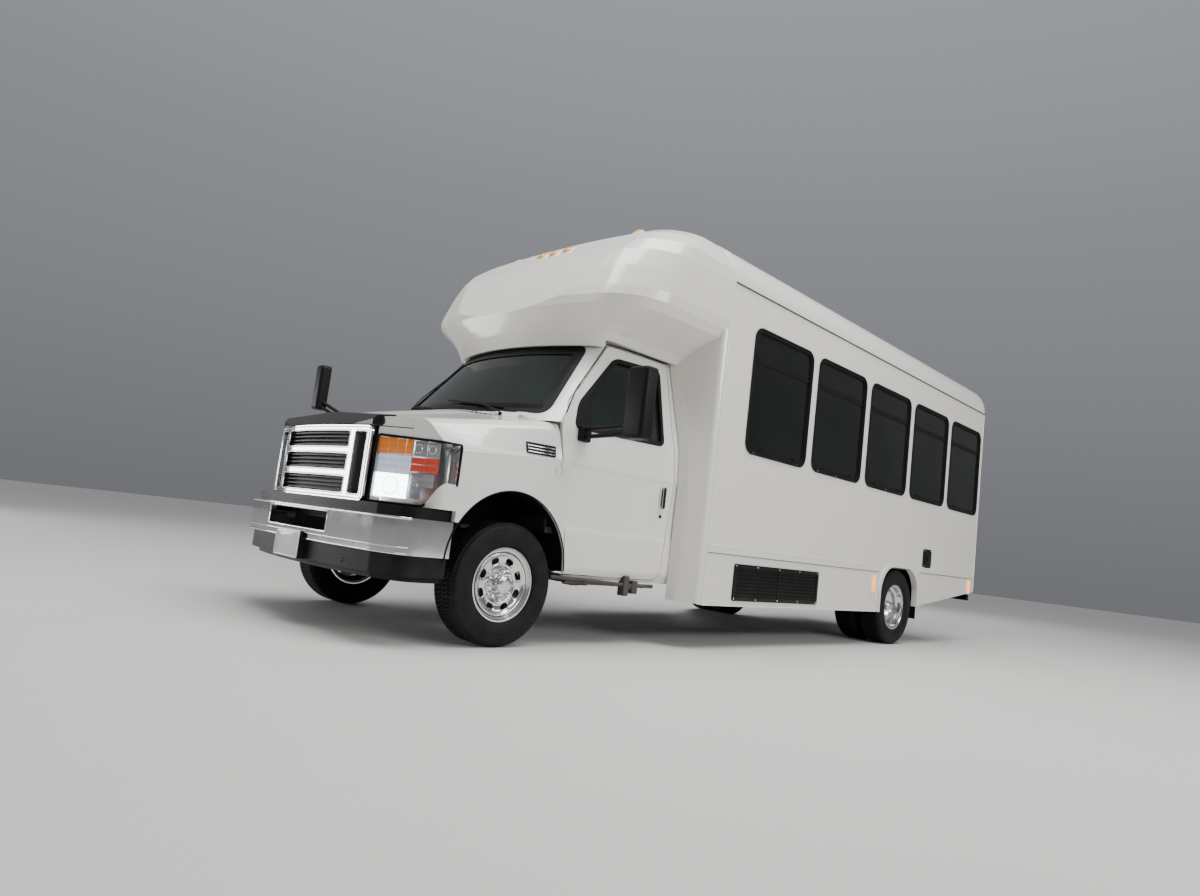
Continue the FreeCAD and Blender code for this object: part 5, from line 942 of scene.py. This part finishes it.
def skirt_fittings():
    with part("vent_mesh", BLACK_PLASTIC) as bm:
        for i in range(58):
            y = 2004 + i * 20.6
            if abs(y - 2592) > 12:
                block(bm, (1220.5, y - 1.4, 392), (1224.5, y + 1.4, 603))
    with part("fitting_screws", COVER_STEEL) as bm:
        for x, ys, zs, screw in ((1229, (1990, 2280, 2592, 2900, 3195), (374, 621), VENT_SCREW),
                                 (1230.5, (5362, 5525), (809, 972), FLAP_SCREW)):
            for y, z in product(ys, zs):
                lathe(bm, fit(x, y, z), (1, 0, 0), screw, 12)
    with part("filler_door", BLACK_PLASTIC) as bm:
        slab(bm, lengthwise(1229, 5374, 5514, 820, 962), 12, (0.004, 0, 0), 1.5)
        block(bm, (1231, 5424, 866), (1241, 5464, 916), 4, 3)
    with part("marker_ribs", AMBER_LENS) as ribs, part("marker_bezels", SEALER) as bezels:
        for side, (y, z) in product((1, -1), SIDE_MARKERS):
            outline = lengthwise(side * (BODY_SIDE - 1), y - 36, y + 36, z - 88, z + 88)
            ring(bezels, outline, 14, 10.5, (side * 0.009, 0, 0), 2)
            for foot in range(z - 66, z + 63, 16):
                block(ribs, (side * 1230, y - 22, foot), (side * 1235.5, y + 22, foot + 8), 2)


def clearance_lamps():
    """Domed amber lenses on white feet, square to the cap where the CAD's lamps stand."""
    skin = skin_lookup("front_cap")
    with (part("clearance_domes", ROOF_AMBER, replaced=("clearance_lamps",)) as domes,
          part("clearance_feet", SEALER) as feet):
        for spot in ROOF_LAMPS:
            place, facing = skin.find_nearest(fit(*spot))[:2]
            lathe(feet, place, facing, LAMP_FOOT, 36)
            lathe(domes, place, facing, LAMP_DOME, 36)


# Rear end and entry
def rear_trim():
    y = REAR_FACE + 1
    with part("rear_window_rubber", BLACK_RUBBER, "rear_door") as bm:
        ring(bm, crosswise(y, -312, 312, 1468, 2312), 70, 24, (0, 0.006, 0), 2)
    with part("rear_door_handle", BLACK_PLASTIC, "rear_door") as bm:
        slab(bm, crosswise(y, 232, 380, 1285, 1400), 14, (0, 0.007, 0), 2)
        block(bm, (262, y + 6, 1322), (352, y + 40, 1350), 8, 4)
    with part("rear_door_surround", BLACK_RUBBER) as bm:
        ring(bm, crosswise(y, -427, 427, 823, 2457), 44, 9, (0, 0.004, 0), 1.2)
    with part("tail_lamp_lenses", RED_LENS) as lenses, part("tail_lamp_bezels", BLACK_PLASTIC) as bezels:
        for x, z in product((-985, 985), (1020, 1150, 1280)):
            lathe(bezels, fit(x, REAR_FACE, z), (0, 1, 0), TAIL_BEZEL, 36)
            lathe(lenses, fit(x, REAR_FACE, z), (0, 1, 0), TAIL_LENS, 32)
        for x in (-900, -90, 0, 90, 900):
            slab(bezels, crosswise(REAR_FACE, x - 42, x + 42, 2630, 2678), 8, (0, 0.005, 0), 1.5)
    with part("bumper_step_treads", BLACK_RUBBER) as bm:
        for i in range(30):
            x = -1110 + i * 76.5
            block(bm, (x - 26, 6900, 588.5), (x + 26, 6946, 592), 1)


def entry_trim():
    # leaf, its y from and to, y where the leaves meet, direction from there into the leaf
    for name, y0, y1, meeting, inward in (("front", 1856, 2297, 2297, -1), ("rear", 2303, 2744, 2303, 1)):
        body = "entry_leaf_" + name
        with part("entry_rubber_" + name, BLACK_RUBBER, body) as bm:
            for low, high in ((464, 1132), (1168, 2326)):
                ring(bm, lengthwise(-BODY_SIDE, y0 + 43, y1 - 43, low, high), 46, 14, (-0.005, 0, 0), 1.6)
        seal = [fit(-1221, meeting + inward * 3, z) for z in (400, 1400, 2380)]
        line("entry_meeting_seal_" + name, seal, 5, BLACK_RUBBER, body)
        with part("entry_grab_rail_" + name, COVER_STEEL, body) as bm:
            y = meeting + inward * 26
            lathe(bm, fit(-1176, y, 1000), (0, 0, 1), [(0, 0), (0, 11), (520, 11), (520, 0)], 18)
            for z in (1030, 1490):
                lathe(bm, fit(-1186, y, z), (1, 0, 0), [(0, 0), (0, 9), (16, 9), (16, 0)], 14)
    with part("step_treads", BLACK_RUBBER, slot="floor_board") as bm:
        for (x0, z), i in product(((-1160, 402), (-886, 607)), range(8)):
            block(bm, (x0 + i * 30, 1880, z), (x0 + i * 30 + 15, 2720, z + 3), 1)


ARCH_Y, ARCH_Z = -10, 470
ARCH_LINER = [(984, 451), (560, 451), (548, 440), (545, 320), (545, 20)]  # x, radius
ARCH_EDGE_X, ARCH_EDGE_RADIUS = 1003, 452


def arch_liners():
    """Dark inner arches over the front wheels, closed towards the engine."""
    with part("arch_liners", BLACK_PLASTIC) as bm:
        verts = [bm.verts.new(fit(x, ARCH_Y + radius, ARCH_Z)) for x, radius in ARCH_LINER]
        edges = [bm.edges.new(pair) for pair in zip(verts, verts[1:])]
        bmesh.ops.spin(bm, geom=verts + edges, cent=fit(0, ARCH_Y, ARCH_Z), axis=(1, 0, 0), angle=math.pi, steps=40,
                       use_merge=False)
        bmesh.ops.remove_doubles(bm, verts=bm.verts, dist=1e-6)
        bmesh.ops.recalc_face_normals(bm, faces=bm.faces)
        bmesh.ops.solidify(bm, geom=bm.faces[:], thickness=0.003)
        mirror_over(bm)
    turns = [math.pi * i / 24 for i in range(25)]
    for side, name in SIDES:
        edge = [fit(side * ARCH_EDGE_X, ARCH_Y + ARCH_EDGE_RADIUS * math.cos(turn),
                    ARCH_Z + ARCH_EDGE_RADIUS * math.sin(turn)) for turn in turns]
        line("arch_edge_" + name, edge, 4, BLACK_RUBBER)


def sill_details():
    with part("sill_brackets", FRAME_PAINT) as bm:
        block(bm, (948, 1012, 336), (1010, 1066, 470), 8, 3)
        block(bm, (930, 1100, 352), (1006, 1160, 440), 8, 3)
        block(bm, (940, 1040, 380), (1000, 1130, 420), 6)
        mirror_over(bm)
    for side, name in SIDES:
        bar = [fit(side * x, y, z) for x, y, z in ((988, 350, 434), (990, 800, 420), (990, 1230, 404))]
        line("sill_bar_cover_" + name, bar, 12, FRAME_PAINT)


# Inside the cab, and the frame below
DASH_FACING = (0, 1, 0.25)
AIR_VENT = [(0, 0), (0, 40), (6, 40), (10, 34), (6, 28), (6, 0)]
MIRROR_STEM = [(0, 0), (0, 8), (70, 8), (72, 18), (78, 18), (78, 0)]
FRAME_BOLT = [(-2, 0), (-2, 17), (2, 17), (2, 12), (11, 11), (12, 8), (12, 0)]


def cab_fittings():
    with part("gauge_faces", PLATE_BLANK) as faces, part("gauge_rims", BLACK_PLASTIC) as rims:
        for x, z, r in ((330, 1296, 50), (470, 1296, 50), (400, 1262, 20)):
            rim = [(-4, 0), (-4, r + 5), (9, r + 5), (9, r), (4, r), (4, 0)]
            dial = [(4, 0), (4, r - 1), (5, r - 1), (5.5, r * 0.3), (8, 5), (8, 0)]
            lathe(rims, fit(x, 616, z), DASH_FACING, rim, 36)
            lathe(faces, fit(x, 616, z), DASH_FACING, dial, 36)
            for i in range(9):
                angle = math.radians(-30 + i * 30)
                tick = fit(x + (r - 9) * math.cos(angle), 622, z + (r - 9) * math.sin(angle))
                lathe(faces, tick, DASH_FACING, [(-2, 0), (-2, 2), (0.5, 2), (0.5, 0)], 6)
    with part("dash_controls", BLACK_PLASTIC) as bm:
        block(bm, (-130, 606, 1236), (130, 632, 1330), 8, 3)
        for x in (-112, -52, 8, 68):
            block(bm, (x, 628, 1252), (x + 44, 638, 1272), 4, 2)
        for x in (-700, -560, 700, 830):
            lathe(bm, fit(x, 618, 1300), DASH_FACING, AIR_VENT, 28)
        block(bm, (430, 700, 1296), (560, 716, 1308), 5, 3)
    with part("inner_mirror", BLACK_PLASTIC) as bm:
        block(bm, (-118, 640, 1868), (118, 664, 1930), 10, 4)
        lathe(bm, fit(0, 640, 1900), (0, -0.75, 0.66), MIRROR_STEM, 16)


def frame_bolts():
    with part("frame_bolts", ENGINE_IRON, sharp=25) as bm:
        for side, i, z in product((-1, 1), range(22), (556, 664)):
            lathe(bm, fit(side * 440, -300 + i * 318, z), (side, 0, 0), FRAME_BOLT, 6)


# Seats
SEAT_HEIGHT, BACK_LEAN = 450, math.atan2(105, 680)
CUSHION, BACK, SWELL = (408, 84), (656, 74), 26  # pads' length and thickness, and how far their cloth may swell
SEAT_ROWS = [
    # name, CAD node, pad width, seats' (middle x, front y), floor height
    ("bench_left", "passenger_seats", 862, [(724, 2150 + i * 780) for i in range(6)], 800),
    ("bench_right", "passenger_seats", 862, [(-724, 2930 + i * 780) for i in range(5)], 800),
    ("cab_seat", "cab_seats", 452, [(565, 900), (-565, 900)], 740),
]


def stuffed(size, cap):
    """Mesh of a stuffed pad about its own middle: cloth swells from a box whose underside is held flat."""
    bm = bmesh.new()
    verts = bmesh.ops.create_cube(bm, size=1.0)["verts"]
    bmesh.ops.scale(bm, vec=Vector(size) / 1000, verts=verts)
    softened(bm, bm.edges[:], 26, 4)
    pad = linked("pad", poured("pad", bm))
    even = pad.modifiers.new("even", "REMESH")
    even.mode, even.voxel_size = "VOXEL", 0.023
    pad.data = applied(pad)
    pad.modifiers.remove(even)
    rest = [vert.co.copy() for vert in pad.data.vertices]
    floor = min(place.z for place in rest) + 0.012
    held = pad.vertex_groups.new(name="held")
    held.add([i for i, place in enumerate(rest) if place.z < floor], 1.0, "REPLACE")
    cloth = pad.modifiers.new("swelling", "CLOTH")
    cloth.settings.use_pressure = True
    cloth.settings.uniform_pressure_force = 4
    cloth.settings.vertex_group_mass = "held"
    cloth.settings.effector_weights.gravity = 0
    for step in range(1, 21):
        bpy.context.scene.frame_set(step)
    swollen = pad.evaluated_get(bpy.context.evaluated_depsgraph_get()).data
    moved = [vert.co - place for vert, place in zip(swollen.vertices, rest)]
    for vert, place, move in zip(pad.data.vertices, rest, moved):
        vert.co = place + move * min(1.0, cap / 1000 / max(move.length, 1e-6))
    pad.modifiers.remove(cloth)
    bpy.context.scene.frame_set(1)
    smooth = pad.modifiers.new("smooth", "SUBSURF")
    smooth.levels = smooth.render_levels = 1
    made = applied(pad)
    bpy.data.objects.remove(pad)
    return made


def sewn(mesh, size):
    """Piping laid on a pad's swollen face: round its border and along two channels."""
    tree = surface_of(mesh)
    half_x, half_y, top = size[0] / 2000 - 0.016, size[1] / 2000 - 0.016, size[2] / 2000

    def laid(x, y):
        return tree.ray_cast(Vector((x, y, top + 0.2)), Vector((0, 0, -1)))[0] or Vector((x, y, top))

    shares = [-1 + i / 8 for i in range(17)]
    border = [(a * half_x, -half_y) for a in shares] + [(half_x, a * half_y) for a in shares[1:]]
    border += [(-a * half_x, half_y) for a in shares[1:]] + [(-half_x, -a * half_y) for a in shares[1:-1]]
    paths = [(border, True)]
    for channel in (-0.36, 0.36) if size[0] > 600 else (-0.55, 0.55):
        paths.append(([(channel * half_x, a * half_y) for a in shares], False))
    piping = bmesh.new()
    for path, closed in paths:
        piping.from_mesh(bead([laid(x, y) for x, y in path], 4, closed))
    return poured("piping", piping)


def placed(name, mesh, places, finish, replaced=()):
    """One piece made of a mesh set down at several places."""
    bm = bmesh.new()
    for place in places:
        before = len(bm.verts)
        bm.from_mesh(mesh)
        bm.verts.ensure_lookup_table()
        bmesh.ops.transform(bm, matrix=place, verts=bm.verts[before:])
    return added(name, bm, finish, slot="seat_cloth", replaced=replaced, sharp=60, tidy=False)


def seats():
    pads = {}
    upright = Matrix.Rotation(-BACK_LEAN, 4, "X") @ Matrix.Rotation(math.pi / 2, 4, "X")
    for name, node, width, at, floor in SEAT_ROWS:
        if width not in pads:
            sizes = [(width, *pad) for pad in (CUSHION, BACK)]
            pads[width] = [(mesh, sewn(mesh, size)) for size in sizes for mesh in [stuffed(size, SWELL)]]
        top = floor + SEAT_HEIGHT
        flat = [Matrix.Translation(fit(x, y + 213, top - 58)) for x, y in at]
        leaning = [Matrix.Translation(fit(x, y + 462, top + 284)) @ upright for x, y in at]
        for half, (mesh, piping), places in zip(("cushion", "back"), pads[width], (flat, leaning)):
            piece = placed("%s_%s" % (name, half), mesh, places, SEAT_CLOTH, (node,))
            placed("%s_%s_piping" % (name, half), piping, places, PIPING)
        with part(name + "_back_shell", BLACK_PLASTIC) as bm:
            for place in leaning:
                before = set(bm.verts)
                verts = bmesh.ops.create_cube(bm, size=1.0)["verts"]
                bmesh.ops.scale(bm, vec=(width / 1000 - 0.02, 0.66, 0.014), verts=verts)
                bmesh.ops.translate(bm, vec=(0, 0, -0.047), verts=verts)
                softened(bm, list({edge for vert in verts for edge in vert.link_edges}), 6, 3)
                bmesh.ops.transform(bm, matrix=place, verts=[vert for vert in bm.verts if vert not in before])
        with part(name + "_legs", FRAME_PAINT) as bm:
            for x, y in at:
                reach = width / 2 - 30
                block(bm, (x - reach, y + 20, top - 108), (x + reach, y + 420, top - 98), 3)
                for leg in (x - 135, x + 135):
                    for foot in (y + 90, y + 345):
                        block(bm, (leg - 15, foot - 15, floor + 6), (leg + 15, foot + 15, top - 104), 4)
                    block(bm, (leg - 24, y + 62, floor), (leg + 24, y + 372, floor + 8), 3)
                block(bm, (x - 135, y + 335, floor + 150), (x + 135, y + 355, floor + 172), 4)


# Floor, light and camera
LAMPS = [
    # name, place, aimed at, width, depth, watts
    ("roof_light", (2.0, -2.5, 8.0), (0, -0.5, 0), 9.0, 3.0, 900),
    ("left_light", (10.0, 0.5, 4.6), (0, 0, 1.2), 9.0, 1.6, 460),
    ("front_light", (-8.0, -9.5, 1.7), (0, -2.5, 1.0), 9.0, 1.9, 420),
    ("back_light", (-7.0, 9.0, 5.0), (0, 0, 1.4), 6.0, 3.0, 420),
]
# The photograph's camera: place, turns in radians, and focal length as a share of the picture's width
CAMERA_PLACE = Vector((4.682, -3.011 + AXLE_Y, 0.724))
CAMERA_YAW, CAMERA_PITCH, CAMERA_ROLL = 0.790, 0.109, 0.120
CAMERA_FOCUS = 792.091 / 1200


def studio():
    bm = bmesh.new()
    bmesh.ops.create_grid(bm, x_segments=1, y_segments=1, size=40)
    ground = linked("studio_floor", poured("studio_floor", bm))
    finish = Finish("studio_floor")
    tone = finish.mix(finish.noise(3.0) * 0.2, (0.66, 0.65, 0.63), (0.60, 0.59, 0.57))
    ground.data.materials.append(finish.done(tone, 0.55))

    world = bpy.data.worlds.new("studio")
    world.use_nodes = True
    nodes, links = world.node_tree.nodes, world.node_tree.links
    kinds = "ShaderNodeTexCoord", "ShaderNodeSeparateXYZ", "ShaderNodeValToRGB"
    around, split, sky = [nodes.new(kind) for kind in kinds]
    stops = sky.color_ramp.elements
    for stop, shade in zip((stops[0], stops[1], stops.new(0.4)),
                           ((0.30, 0.31, 0.33, 1), (0.62, 0.64, 0.68, 1), (0.50, 0.52, 0.55, 1))):
        stop.color = shade
    links.new(around.outputs["Generated"], split.inputs[0])
    links.new(split.outputs[2], sky.inputs[0])
    links.new(sky.outputs[0], nodes["Background"].inputs[0])
    nodes["Background"].inputs[1].default_value = 0.55
    bpy.context.scene.world = world

    for name, place, aim, width, depth, watts in LAMPS:
        data = bpy.data.lights.new(name, "AREA")
        data.shape, data.size, data.size_y, data.energy = "RECTANGLE", width, depth, watts
        turn = (Vector(aim) - Vector(place)).to_track_quat("-Z", "Y").to_matrix().to_4x4()
        linked(name, data).matrix_world = Matrix.Translation(place) @ turn


def camera():
    level = math.cos(CAMERA_PITCH)
    ahead = Vector((-math.sin(CAMERA_YAW) * level, math.cos(CAMERA_YAW) * level, math.sin(CAMERA_PITCH)))
    right = ahead.cross(Vector((0, 0, 1))).normalized()
    up = right.cross(ahead)
    near, aside = math.cos(CAMERA_ROLL), math.sin(CAMERA_ROLL)
    turn = Matrix((right * near + up * aside, up * near - right * aside, -ahead)).transposed().to_4x4()
    data = bpy.data.cameras.new("camera")
    data.sensor_width = 36
    data.lens = CAMERA_FOCUS * data.sensor_width
    data.clip_start, data.clip_end = 0.05, 200
    eye = linked("camera", data)
    eye.matrix_world = Matrix.Translation(CAMERA_PLACE) @ turn
    bpy.context.scene.camera = eye


for build in (studio, camera, tyres, front_wheels, wheel_nuts, headlamps, front_trim, windscreen_trim, door_trim,
              fender_vents, mirrors, body_beads, window_trim, skirt_fittings, clearance_lamps, rear_trim, entry_trim,
              arch_liners, sill_details, nose_beads, cab_fittings, frame_bolts, seats):
    build()
